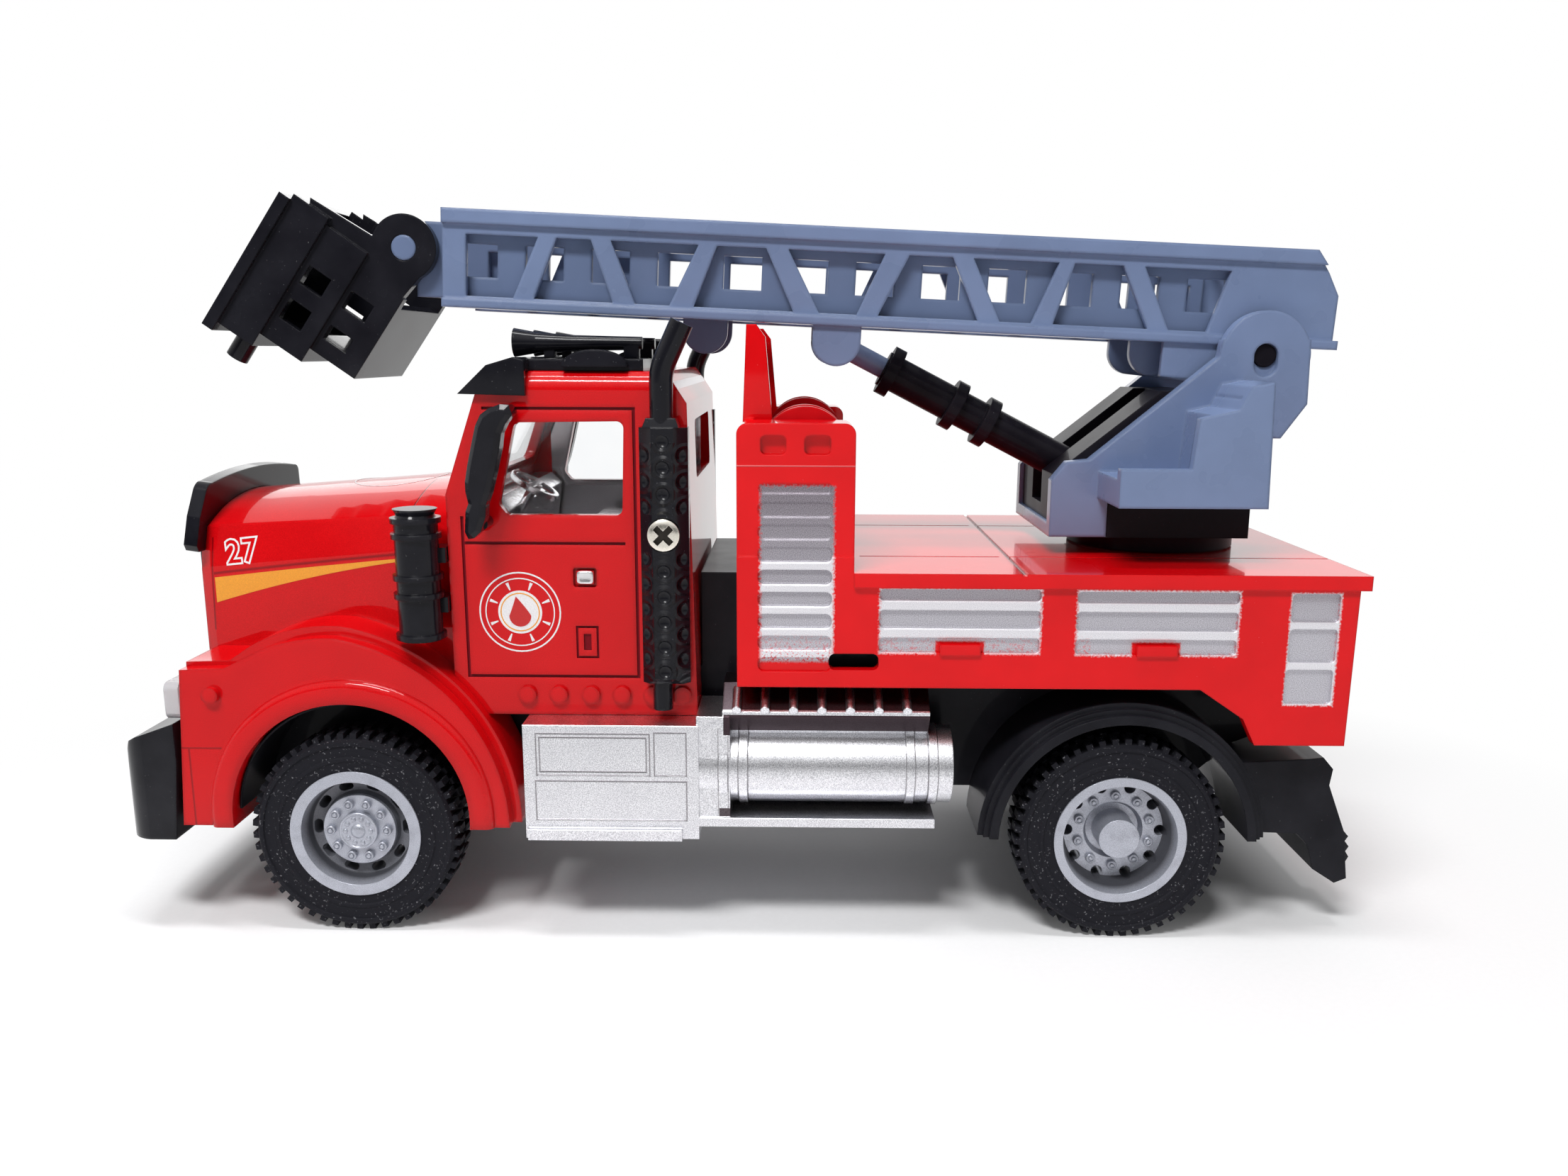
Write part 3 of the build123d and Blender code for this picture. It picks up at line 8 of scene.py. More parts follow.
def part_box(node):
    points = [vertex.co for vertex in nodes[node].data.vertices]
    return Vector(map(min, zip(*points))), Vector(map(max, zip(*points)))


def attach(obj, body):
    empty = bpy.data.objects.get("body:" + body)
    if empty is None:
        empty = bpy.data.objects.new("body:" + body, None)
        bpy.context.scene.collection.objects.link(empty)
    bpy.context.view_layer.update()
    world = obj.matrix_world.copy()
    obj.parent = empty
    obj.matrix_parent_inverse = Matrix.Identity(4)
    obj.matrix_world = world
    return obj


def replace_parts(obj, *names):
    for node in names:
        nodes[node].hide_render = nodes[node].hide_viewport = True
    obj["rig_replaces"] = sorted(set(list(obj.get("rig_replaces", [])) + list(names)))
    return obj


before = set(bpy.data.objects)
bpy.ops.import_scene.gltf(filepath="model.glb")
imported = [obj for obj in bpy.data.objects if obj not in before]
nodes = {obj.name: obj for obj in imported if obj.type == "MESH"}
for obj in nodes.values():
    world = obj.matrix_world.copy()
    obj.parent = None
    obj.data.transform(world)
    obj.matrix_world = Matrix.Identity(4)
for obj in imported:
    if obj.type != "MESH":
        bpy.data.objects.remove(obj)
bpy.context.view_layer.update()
bpy.ops.object.select_all(action="DESELECT")
mm = 0.001

# ---------------------------------------------------------------- chassis and rear bumper
# One black plastic moulding: the girder between the wheels, both rear mudguards and the tail
# bumper.  It has a satin face that picks up pale dust, and the body screws down on it.


class Shade:
    """One output of a shader node.  Sums, products and comparisons of it add Math nodes."""

    def __init__(self, tree, socket):
        self.tree = tree
        self.socket = socket

    def make(self, kind, settings=None, inputs=None, output=0):
        """Adds a node: its settings are set first, then the values or links of its sockets."""
        node = self.tree.nodes.new(kind)
        for name, value in (settings or {}).items():
            setattr(node, name, value)
        for name, value in (inputs or {}).items():
            if isinstance(value, Shade):
                self.tree.links.new(value.socket, node.inputs[name])
            else:
                node.inputs[name].default_value = value
        return Shade(self.tree, node.outputs[output])

    def maths(self, operation, first, second, clamp=False):
        settings = {"operation": operation, "use_clamp": clamp}
        return self.make("ShaderNodeMath", settings, {0: first, 1: second})

    def __add__(self, other):
        return self.maths("ADD", self, other)

    def __sub__(self, other):
        return self.maths("SUBTRACT", self, other)

    def __rsub__(self, other):
        return self.maths("SUBTRACT", other, self)

    def __mul__(self, other):
        return self.maths("MULTIPLY", self, other)

    def __truediv__(self, other):
        return self.maths("DIVIDE", self, other)

    def __pow__(self, other):
        return self.maths("POWER", self, other)

    def __mod__(self, other):
        return self.maths("FLOORED_MODULO", self, other)

    def __gt__(self, other):
        return self.maths("GREATER_THAN", self, other)

    def __lt__(self, other):
        return self.maths("LESS_THAN", self, other)

    def __abs__(self):
        return self.maths("ABSOLUTE", self, 0.0)

    __radd__ = __add__
    __rmul__ = __mul__

    def least(self, other):
        return self.maths("MINIMUM", self, other)

    def most(self, other):
        return self.maths("MAXIMUM", self, other)

    def between(self, low, high):
        """1 where this is above low and below high, 0 elsewhere."""
        return (self > low) * (self < high)

    def line(self, width):
        """1 where this is 0, falling to 0 at half the width to either side."""
        return 1 - (abs(self) / (0.5 * width)).least(1.0)

    def clamped(self):
        return self.maths("MULTIPLY", self, 1.0, clamp=True)

    def ramp(self, low, high):
        """0 below low, 1 above high, straight between."""
        return ((self - low) / (high - low)).clamped()

    def tint(self, first, second):
        """The first colour where this is 0 and the second where it is 1."""
        colours = {6: first, 7: second}
        for place, colour in colours.items():
            if not isinstance(colour, Shade):
                colours[place] = (*colour, 1.0)
        return self.make("ShaderNodeMix", {"data_type": "RGBA"}, {0: self, **colours}, 2)

    def blend(self, first, second):
        """The first vector where this is 0 and the second where it is 1."""
        ends = {4: first, 5: second}
        return self.make("ShaderNodeMix", {"data_type": "VECTOR"}, {0: self, **ends}, 1)

    def cloud(self, size, detail=2.0, roughness=0.5):
        """Noise over the piece, from 0 to 1, with blots of about the given size."""
        values = {"Vector": self, "Scale": 1.0 / size, "Detail": detail, "Roughness": roughness}
        return self.make("ShaderNodeTexNoise", {}, values)

    def axis(self, index):
        return self.make("ShaderNodeSeparateXYZ", {}, {0: self}, index)

    def bump(self, height, normal=None):
        """A normal raised by this value times height."""
        values = {"Strength": 1.0, "Distance": height, "Height": self}
        if normal:
            values["Normal"] = normal
        return self.make("ShaderNodeBump", {}, values)

    def rounded(self, radius):
        """The surface's normal with its edges rounded to the radius."""
        return self.make("ShaderNodeBevel", {"samples": 5}, {"Radius": radius})

    def feed(self, shader, socket):
        self.tree.links.new(self.socket, shader.inputs[socket])


def start_finish(name, **plain):
    """A material with one Principled shader: returns it, the shader and Object coordinates."""
    material = bpy.data.materials.new(name)
    material.use_nodes = True
    tree = material.node_tree
    tree.nodes.clear()
    end = tree.nodes.new("ShaderNodeOutputMaterial")
    shader = tree.nodes.new("ShaderNodeBsdfPrincipled")
    tree.links.new(shader.outputs[0], end.inputs["Surface"])
    for socket, value in plain.items():
        shader.inputs[socket.replace("_", " ")].default_value = value
    place = Shade(tree, tree.nodes.new("ShaderNodeTexCoord").outputs["Object"])
    return material, shader, place


def black_moulding(name, colour, gloss, pebble=0.006 * mm, edge=0.35 * mm, dust=0.35,
                   spec=0.06, coat=0.5):
    """Black plastic: fine mould grain, patchy gloss from handling, and specks of pale dust."""
    material, shader, place = start_finish(name, IOR=1.5, Specular_IOR_Level=spec, Coat_Weight=coat,
                                           Coat_Roughness=0.06, Coat_IOR=1.32)
    patches = place.cloud(6 * mm, detail=3.0)
    grain = place.cloud(0.16 * mm, detail=2.0)
    dusty = place.cloud(4 * mm).ramp(0.40, 0.62)
    specks = place.cloud(0.34 * mm, detail=1.0).ramp(0.735, 0.80) * dusty
    pale = tuple(0.16 + part for part in colour)
    worn = tuple(part * 1.5 + 0.004 for part in colour)
    body = patches.ramp(0.35, 0.75).tint(colour, worn)
    (specks * dust).tint(body, pale).feed(shader, "Base Color")
    (gloss + patches.ramp(0.3, 0.8) * 0.10 + specks * 0.3).feed(shader, "Roughness")
    grain.bump(pebble, place.rounded(edge)).feed(shader, "Normal")
    return material


def dress(finish, *names):
    """Gives CAD nodes this finish."""
    for name in names:
        for slot in nodes[name].material_slots:
            slot.material = finish


chassis_black = black_moulding("chassis_black", (0.008, 0.008, 0.011), 0.34,
                               pebble=0.008 * mm, coat=0.15)
dress(chassis_black, "chassis")

# ---------------------------------------------------------------- front wheel wells
# Thin black liners in the front fenders, one each side: a flat wall beside the chassis and a curved
# roof over the tyre.  They are snapped up into the casting from below.
arch_x, arch_z, well_radius = 51.75 * mm, 16.6 * mm, 15.4 * mm
well_inner, well_outer, well_foot = 15.15 * mm, 25.4 * mm, 17.3 * mm


def choose(piece, test):
    """Opens the piece for editing, with the faces selected whose centre and normal pass."""
    bpy.ops.object.mode_set(mode="EDIT")
    bpy.ops.mesh.select_mode(type="FACE")
    bpy.ops.mesh.select_all(action="DESELECT")
    bpy.ops.object.mode_set(mode="OBJECT")
    for face in piece.data.polygons:
        face.select = test(face.center, face.normal)
    bpy.ops.object.mode_set(mode="EDIT")


def begin(name):
    """Names the primitive just added and puts its place in its mesh."""
    piece = bpy.context.active_object
    piece.name = name
    piece.data.name = name
    bpy.ops.object.transform_apply(location=True, rotation=True, scale=True)
    return piece


def finish_piece(piece, material, body, smooth=35):
    """Closes the piece: its modifiers are applied, and it gets its finish and body."""
    if bpy.context.mode != "OBJECT":
        bpy.ops.object.mode_set(mode="OBJECT")
    bpy.ops.object.select_all(action="DESELECT")
    piece.select_set(True)
    bpy.context.view_layer.objects.active = piece
    for modifier in list(piece.modifiers):
        bpy.ops.object.modifier_apply(modifier=modifier.name)
    bpy.ops.object.mode_set(mode="EDIT")
    bpy.ops.mesh.select_all(action="SELECT")
    bpy.ops.mesh.remove_doubles(threshold=0.002 * mm)
    bpy.ops.mesh.normals_make_consistent(inside=False)
    bpy.ops.object.mode_set(mode="OBJECT")
    bpy.ops.object.shade_smooth_by_angle(angle=radians(smooth))
    piece.data.materials.clear()
    piece.data.materials.append(material)
    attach(piece, body)
    piece.select_set(False)
    return piece


def copy_piece(piece, name, move):
    """Another of the same, with its own mesh, put in place by a matrix."""
    twin = piece.copy()
    twin.data = piece.data.copy()
    twin.name = name
    twin.data.name = name
    bpy.context.scene.collection.objects.link(twin)
    twin.data.transform(move)
    if move.determinant() < 0:
        twin.data.flip_normals()
    twin.select_set(False)
    return twin


to_right = Matrix.Scale(-1, 4, (0, 1, 0))
bpy.ops.mesh.primitive_circle_add(vertices=72, radius=well_radius, fill_type="NGON",
                                  location=(arch_x, well_inner, arch_z), rotation=(pi / 2, 0, 0))
well = begin("wheel_well_left")
choose(well, lambda centre, normal: True)
bpy.ops.mesh.bisect(plane_co=(0, 0, well_foot), plane_no=(0, 0, 1), clear_inner=True)
bpy.ops.mesh.select_mode(type="EDGE")
bpy.ops.mesh.select_all(action="DESELECT")
bpy.ops.object.mode_set(mode="OBJECT")
for edge in well.data.edges:
    ends = [well.data.vertices[i].co.z for i in edge.vertices]
    edge.select = max(ends) > well_foot + 0.01 * mm
bpy.ops.object.mode_set(mode="EDIT")
bpy.ops.mesh.extrude_edges_move(TRANSFORM_OT_translate={"value": (0, well_outer - well_inner, 0)})
bpy.ops.object.mode_set(mode="OBJECT")
lining = well.modifiers.new("lining", "SOLIDIFY")
lining.thickness = 0.25 * mm
lining.offset = 0.0
finish_piece(well, chassis_black, "vehicle")
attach(copy_piece(well, "wheel_well_right", to_right), "vehicle")

# ---------------------------------------------------------------- axles and rims
# Plain steel rods turn in the chassis.  Each carries two rims of silver-pigmented plastic, pushed
# on its ends, with hand-holes moulded in.
steel, shader, place = start_finish("drawn_steel", Metallic=1.0)
streaks = place.cloud(0.25 * mm, detail=2.0)
streaks.tint((0.50, 0.50, 0.51), (0.66, 0.66, 0.67)).feed(shader, "Base Color")
(0.26 + streaks * 0.16).feed(shader, "Roughness")
dress(steel, "front_axle", "rear_axle")

rim_silver, shader, place = start_finish("rim_silver", IOR=1.5)
flakes = place.cloud(0.09 * mm, detail=1.0)
grime = place.cloud(2.4 * mm, detail=3.0).ramp(0.50, 0.80)
sheen = flakes.ramp(0.3, 0.7).tint((0.30, 0.31, 0.36), (0.50, 0.52, 0.58))
dusty = (grime * 0.4).tint(sheen, (0.18, 0.18, 0.21))
# painted shade: the barrel behind the lip and the bottom round the hand-holes are painted dark, as
# shadow in the rim's hollow
axles_mid, half_wheelbase, rim_z = 0.6 * mm, 51.15 * mm, 14.0 * mm
barrel_radius, hub_radius = 6.7 * mm, 4.95 * mm
rim_back, rim_bottom, lip_back, lip_face = 20.0 * mm, 23.9 * mm, 24.2 * mm, 26.0 * mm
along = abs(place.axis(0) - axles_mid) - half_wheelbase
up, out = place.axis(2) - rim_z, abs(place.axis(1))
reach = (along * along + up * up) ** 0.5
barrel = (reach > barrel_radius) * (1 - out.ramp(lip_back, lip_face))
foot = (reach > hub_radius) * (place.axis(0) > 0.0) * (out < rim_bottom)
painted_recess_shade = barrel.most(foot * 0.75) * (out > rim_back)
(painted_recess_shade * 0.92).tint(dusty, (0.020, 0.020, 0.026)).feed(shader, "Base Color")
(0.30 + flakes * 0.10 + grime * 0.12 + painted_recess_shade * 0.2).feed(shader, "Roughness")
((flakes * 0.3 + 0.45) * (1 - painted_recess_shade)).feed(shader, "Metallic")
flakes.bump(0.004 * mm, place.rounded(0.16 * mm)).feed(shader, "Normal")
dress(rim_silver, "front_rim_left", "front_rim_right", "rear_rim_left", "rear_rim_right")

# ---------------------------------------------------------------- tyres
# Soft black plastic rings stretched over the rims.  The tread is two rows of square blocks, set
# half a pitch apart and split by a groove; the side wall has a low step and a raised ring.
tread_radius = 14.0 * mm
block_height = 0.75 * mm
blocks = 50
half_groove = 0.30 * mm
tyre_width = 6.4 * mm
wheel_outer = 26.0 * mm
rim_radius = 8.8 * mm
tyre_black, shader, place = start_finish("tyre_black", IOR=1.5, Specular_IOR_Level=0.12)
rubber_grain = place.cloud(0.20 * mm, detail=3.0, roughness=0.65)
rubbed = place.cloud(2.2 * mm, detail=2.0).ramp(0.34, 0.58)
chalk = place.cloud(0.32 * mm, detail=2.0).ramp(0.64, 0.70) * rubbed
(chalk * 0.6).tint((0.011, 0.011, 0.015), (0.26, 0.26, 0.28)).feed(shader, "Base Color")
(0.58 + rubber_grain * 0.22).feed(shader, "Roughness")
rubber_grain.bump(0.045 * mm, place.rounded(0.10 * mm)).feed(shader, "Normal")


def middle(node, axis):
    """Middle of a CAD node's box along one axis."""
    low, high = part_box(node)
    return (low[axis] + high[axis]) / 2


front_axle_x = middle("front_axle", 0)
rear_axle_x = middle("rear_axle", 0)
axle_z = middle("front_axle", 2)
tyre_mid = wheel_outer - tyre_width / 2
bpy.ops.mesh.primitive_cylinder_add(
    vertices=2 * blocks, radius=tread_radius - block_height, depth=tyre_width - 0.9 * mm,
    location=(0, tyre_mid, 0), rotation=(pi / 2, 0, 0))
tyre = begin("tyre_front_left")
# side walls: shoulder, step and raised ring, then the hole for the rim
choose(tyre, lambda centre, normal: abs(normal.y) > 0.9)
for inset, rise in ((0.35 * mm, 0.45 * mm), (0.5 * mm, 0.0), (0.10 * mm, -0.22 * mm),
                    (1.5 * mm, 0.0), (0.18 * mm, 0.16 * mm), (0.35 * mm, 0.0),
                    (0.18 * mm, -0.16 * mm)):
    bpy.ops.mesh.inset(thickness=inset, depth=rise, use_even_offset=True)
bpy.ops.object.mode_set(mode="OBJECT")
inner_loop = min((Vector((v.co.x, 0, v.co.z)).length for v in tyre.data.vertices))
bpy.ops.object.mode_set(mode="EDIT")
bpy.ops.mesh.inset(thickness=inner_loop - rim_radius, depth=0.0, use_even_offset=True)
bpy.ops.mesh.delete(type="FACE")
bpy.ops.mesh.select_mode(type="EDGE")
bpy.ops.mesh.select_all(action="DESELECT")
bpy.ops.mesh.select_non_manifold()
bpy.ops.mesh.bridge_edge_loops()
# tread: a groove round the middle, and every other face raised, one row half a pitch from the other
for cut in (-half_groove, half_groove):
    bpy.ops.mesh.select_all(action="SELECT")
    bpy.ops.mesh.bisect(plane_co=(0, tyre_mid + cut, 0), plane_no=(0, 1, 0))


def is_block(centre, normal):
    outward = Vector((centre.x, 0, centre.z))
    on_tread = outward.length > tread_radius - block_height - 0.2 * mm and abs(normal.y) < 0.5
    bearing = Vector((1, 0)).angle_signed(Vector((centre.x, centre.z)), 0) % (2 * pi)
    turn = int(bearing / (pi / blocks))
    beside = centre.y - tyre_mid
    return on_tread and abs(beside) > half_groove and (turn % 2 == (0 if beside > 0 else 1))


choose(tyre, is_block)
bpy.ops.mesh.extrude_region_shrink_fatten(TRANSFORM_OT_shrink_fatten={"value": block_height})
bpy.ops.transform.resize(value=(1.0, 0.97, 1.0), center_override=(0, tyre_mid, 0))
bpy.ops.object.mode_set(mode="OBJECT")
tyre.data.transform(Matrix.Translation((front_axle_x, 0, axle_z)))
finish_piece(tyre, tyre_black, "front_wheels", smooth=30)
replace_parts(tyre, "front_tyre_left")
half_turn = Matrix.Rotation(pi, 4, "Z")
to_front = Matrix.Translation((2 * front_axle_x, 0, 0)) @ half_turn
to_rear = Matrix.Translation((rear_axle_x - front_axle_x, 0, 0))
for name, body, node, move in (
        ("tyre_front_right", "front_wheels", "front_tyre_right", to_front),
        ("tyre_rear_left", "rear_wheels", "rear_tyre_left", to_rear),
        ("tyre_rear_right", "rear_wheels", "rear_tyre_right", to_rear @ to_front)):
    other = copy_piece(tyre, name, move)
    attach(other, body)
    other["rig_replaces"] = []
    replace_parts(other, node)

# ---------------------------------------------------------------- wheel studs and hub caps
# Moulded with the rims and as silver as they are: ten studs on each hub, and on the front ones a
# round cap with a ring of small studs and a dome.
stud_ring, small_stud_ring = 3.8 * mm, 1.72 * mm


def step_out(name, vertices, radius, depth, place_at, steps):
    """A disc that faces outwards, with its face stepped: pairs of inset and rise."""
    bpy.ops.mesh.primitive_cylinder_add(vertices=vertices, radius=radius, depth=depth,
                                        location=place_at, rotation=(-pi / 2, 0, 0))
    part = begin(name)
    choose(part, lambda centre, normal: normal.y > 0.9)
    for inset, rise in steps:
        bpy.ops.mesh.inset(thickness=inset, depth=rise)
    bpy.ops.object.mode_set(mode="OBJECT")
    return part


stud = step_out("stud", 16, 0.66 * mm, 0.65 * mm, (stud_ring, 24.52 * mm, 0),
                ((0.08 * mm, 0.08 * mm), (0.12 * mm, 0.0), (0.04 * mm, -0.13 * mm),
                 (0.10 * mm, 0.0), (0.04 * mm, 0.20 * mm), (0.12 * mm, 0.04 * mm)))
small_stud = step_out("small_stud", 12, 0.30 * mm, 0.30 * mm, (small_stud_ring, 24.95 * mm, 0),
                      ((0.12 * mm, 0.07 * mm),))
cap = step_out("hub_cap", 40, 2.62 * mm, 0.75 * mm, (0, 24.58 * mm, 0),
               ((0.10 * mm, 0.08 * mm), (0.20 * mm, 0.0), (0.10 * mm, -0.09 * mm),
                (1.22 * mm, 0.0), (0.08 * mm, 0.14 * mm), (0.25 * mm, 0.14 * mm),
                (0.30 * mm, 0.06 * mm)))


def ring_of(piece, moved_by, first_turn):
    """Ten copies of a stud round the axle."""
    ring = []
    for step in range(10):
        turn = Matrix.Rotation((step + first_turn) * pi / 5, 4, "Y")
        ring.append(copy_piece(piece, "stud_copy", turn @ Matrix.Translation(moved_by)))
    return ring


def join_up(name, parts):
    """Joins parts into the first of them, which takes the name."""
    bpy.ops.object.select_all(action="DESELECT")
    for part in parts:
        part.select_set(True)
    bpy.context.view_layer.objects.active = parts[0]
    bpy.ops.object.join()
    parts[0].name = parts[0].data.name = name
    return parts[0]


def join_studs(name, parts, body, to_wheel):
    """Joins the studs of one hub, puts them on their wheel, and makes the other side's."""
    joined = join_up(f"{name}_left", parts)
    joined.data.transform(Matrix.Translation((to_wheel, 0, axle_z)))
    finish_piece(joined, rim_silver, body)
    across = Matrix.Translation((2 * to_wheel, 0, 0)) @ half_turn
    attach(copy_piece(joined, f"{name}_right", across), body)


rear_studs = ring_of(stud, (1.2 * mm, -2.20 * mm, 0), 0.5)
front_studs = ring_of(stud, (0, 0, 0), 0.0) + ring_of(small_stud, (0, 0, 0), 0.0) + [cap]
join_studs("front_hub_studs", front_studs, "front_wheels", front_axle_x)
join_studs("rear_hub_studs", rear_studs, "rear_wheels", rear_axle_x)
bpy.data.objects.remove(stud)
bpy.data.objects.remove(small_stud)

# ---------------------------------------------------------------- cab, hood and front fenders
# One die-casting in gloss red enamel, with a faint sparkle and orange peel.  The door's outline and
# its latch are engraved and filled with dark wash.
side_y = 22.5 * mm
flash_nose, flash_length = 72.9 * mm, 26.8 * mm
# Z at the flash's nose, Z at its tip, and its bow up between them, where 0 is straight
flash_low, flash_high = (43.4 * mm, 49.9 * mm, 0.32), (46.9 * mm, 50.3 * mm, 0.10)
crease_rise = 0.55 * mm


def flash_edge(edge, back):
    """Z of an edge of the hood's yellow flash, for a place from 0 at its nose to 1 at its tip."""
    nose_z, tip_z, bow = edge
    return nose_z + (tip_z - nose_z) * ((1 + bow) * back - bow * back * back)


cab_red, shader, place = start_finish("cab_red", IOR=1.5, Specular_IOR_Level=0.03,
                                      Coat_Roughness=0.04, Coat_IOR=1.34)
x, y, z = (place.axis(index) for index in range(3))
peel = place.cloud(0.42 * mm, detail=2.0)
sparkle = place.cloud(0.10 * mm, detail=1.0)
depth = abs(y)
in_door = x.between(13.2 * mm, 36.8 * mm) * z.between(34.8 * mm, 71.0 * mm)
in_window = x.between(14.6 * mm, 31.6 * mm) * z.between(56.5 * mm, 69.4 * mm)
wash = in_door * (1 - in_window) * depth.between(side_y - 0.34 * mm, side_y - 0.05 * mm)
# shadow lines of the casting: the hood's joint, its crease over the flash, its nose corner, and
# the step at the fender's front
back = (flash_nose - x) / flash_length
crease_z = flash_edge(flash_high, back) + crease_rise
on_hood = (x > 38.5 * mm) * (z > 42.0 * mm)
joint = (x - 44.65 * mm).line(0.30 * mm) * (z > 52.5 * mm) * (depth < 19.0 * mm)
crease = (z - crease_z).line(0.60 * mm) * (x < 73.0 * mm) * on_hood
corner_top = 52.4 * mm
corner = (x - 73.0 * mm - (corner_top - z) * 0.04).line(0.40 * mm)
corner = corner * z.between(39.5 * mm, corner_top)
front_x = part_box("cab_shell")[1].x
step_z, fender_side = 26.0 * mm, 25.8 * mm
step = (z - step_z).line(0.36 * mm) * (x > 68.6 * mm) * (depth > fender_side)
upright = (x - (front_x - 2.1 * mm)).line(0.36 * mm) * (z < step_z) * (depth > fender_side)
cast_lines = joint.most(crease * 0.8).most(corner * 0.8).most(step * 0.7).most(upright * 0.7)
shade_red = sparkle.ramp(0.35, 0.75).tint((0.52, 0.001, 0.003), (0.72, 0.004, 0.007))
soft_red = (place.cloud(9 * mm).ramp(0.3, 0.7) * 0.30).tint(shade_red, (0.44, 0.001, 0.003))
lined_red = cast_lines.tint(soft_red, (0.13, 0.0, 0.002))
# the inside is plated along with the seats
inside = x.between(8.0 * mm, 33.4 * mm) * z.between(46.0 * mm, 73.9 * mm) * (depth < 21.25 * mm)
lined = inside.tint(lined_red, (0.62, 0.60, 0.62))
wash.tint(lined, (0.18, 0.002, 0.008)).feed(shader, "Base Color")
(inside * 0.9).feed(shader, "Metallic")
(0.20 + sparkle * 0.10).feed(shader, "Roughness")
(0.85 - wash * 0.6 - inside * 0.8).feed(shader, "Coat Weight")
# the flare's lip is rolled well over, other edges only a little
along, up = x - arch_x, z - arch_z
flare = (along * along + up * up) ** 0.5
flare = (flare < 19.05 * mm) * (depth > 24.0 * mm) * (z > 15.0 * mm)
edges = flare.blend(place.rounded(0.95 * mm), place.rounded(2.3 * mm))
enamel = (peel * 0.7 + sparkle * 0.3).bump(0.007 * mm, edges)
(1 - cast_lines).bump(0.10 * mm, enamel).feed(shader, "Normal")
dress(cab_red, "cab_shell")

# ---------------------------------------------------------------- stripes, numbers and door badges
# Printed on the enamel in thin, slightly raised ink: a yellow flash and a plain number on each side
# of the hood, a round badge with a flame on each door, and a plain outline on the hood's top.
ink_depth = 0.04 * mm


def ink(name, colour, roughness=0.35):
    """Printing ink, with the tiny pinholes and uneven gloss of a pad print."""
    material, shader, place = start_finish(name, IOR=1.5)
    pores = place.cloud(0.16 * mm, detail=2.0)
    faded = tuple(part * 0.86 for part in colour)
    pores.ramp(0.35, 0.7).tint(faded, colour).feed(shader, "Base Color")
    (roughness + pores * 0.15).feed(shader, "Roughness")
    pores.bump(0.004 * mm).feed(shader, "Normal")
    return material


yellow_ink = ink("yellow_ink", (0.86, 0.36, 0.025))
white_ink = ink("white_ink", (0.84, 0.82, 0.83))
red_ink = ink("red_ink", (0.55, 0.012, 0.012))


def lay_on(piece, node, direction):
    """Projects a flat print on to a CAD node along an axis and gives it the ink's thickness."""
    wrap = piece.modifiers.new("lay", "SHRINKWRAP")
    wrap.target = nodes[node]
    wrap.wrap_method = "PROJECT"
    wrap.use_project_x = direction == "X"
    wrap.use_project_y = direction == "Y"
    wrap.use_project_z = direction == "Z"
    wrap.use_negative_direction = True
    wrap.use_positive_direction = True
    wrap.offset = 0.5 * ink_depth
    wall = piece.modifiers.new("ink", "SOLIDIFY")
    wall.thickness = ink_depth
    wall.offset = 0.0


number_text = "27"
number_z, number_size, stroke_width = 48.9 * mm, 4.5 * mm, 0.25 * mm
clear_of_hood = 40 * mm
for side, sign, number_x in (("left", 1, 70.9 * mm), ("right", -1, 66.1 * mm)):
    bpy.ops.mesh.primitive_grid_add(x_subdivisions=28, y_subdivisions=3, size=1.0,
                                    location=(0, 0, 0), rotation=(pi / 2, 0, 0))
    flash = begin(f"hood_flash_{side}")
    for vert in flash.data.vertices:
        back = 0.5 - vert.co.x
        low, high = flash_edge(flash_low, back), flash_edge(flash_high, back)
        vert.co = (flash_nose - flash_length * back, sign * 26 * mm,
                   low + (high - low) * (vert.co.z + 0.5))
    lay_on(flash, "cab_shell", "Y")
    finish_piece(flash, yellow_ink, "vehicle")

    # the digits' outline: a low wall round each contour, thickened, then set on the hood's side
    bpy.ops.object.text_add(location=(number_x, 0, number_z),
                            rotation=(pi / 2, sign * radians(-7), pi if sign > 0 else 0))
    number = bpy.context.active_object
    number.data.body = number_text
    number.data.size = number_size
    number.data.space_character = 1.06
    number.data.offset = 0.15 * mm
    number.data.resolution_u = 3
    number.data.fill_mode = "NONE"
    number.data.extrude = 0.5 * ink_depth
    bpy.ops.object.convert(target="MESH")
    number = begin(f"hood_number_{side}")
    choose(number, lambda centre, normal: True)
    bpy.ops.mesh.remove_doubles(threshold=0.002 * mm)
    bpy.ops.object.mode_set(mode="OBJECT")
    stroke = number.modifiers.new("stroke", "SOLIDIFY")
    stroke.thickness = stroke_width
    stroke.offset = 0.0
    stroke.use_even_offset = True
    bpy.ops.object.modifier_apply(modifier=stroke.name)
    for vert in number.data.vertices:
        start = (vert.co.x, sign * clear_of_hood, vert.co.z)
        hit, spot = nodes["cab_shell"].ray_cast(start, (0, -sign, 0))[:2]
        if hit:
            vert.co.y += spot.y + sign * 0.3 * ink_depth
    finish_piece(number, white_ink, "vehicle")

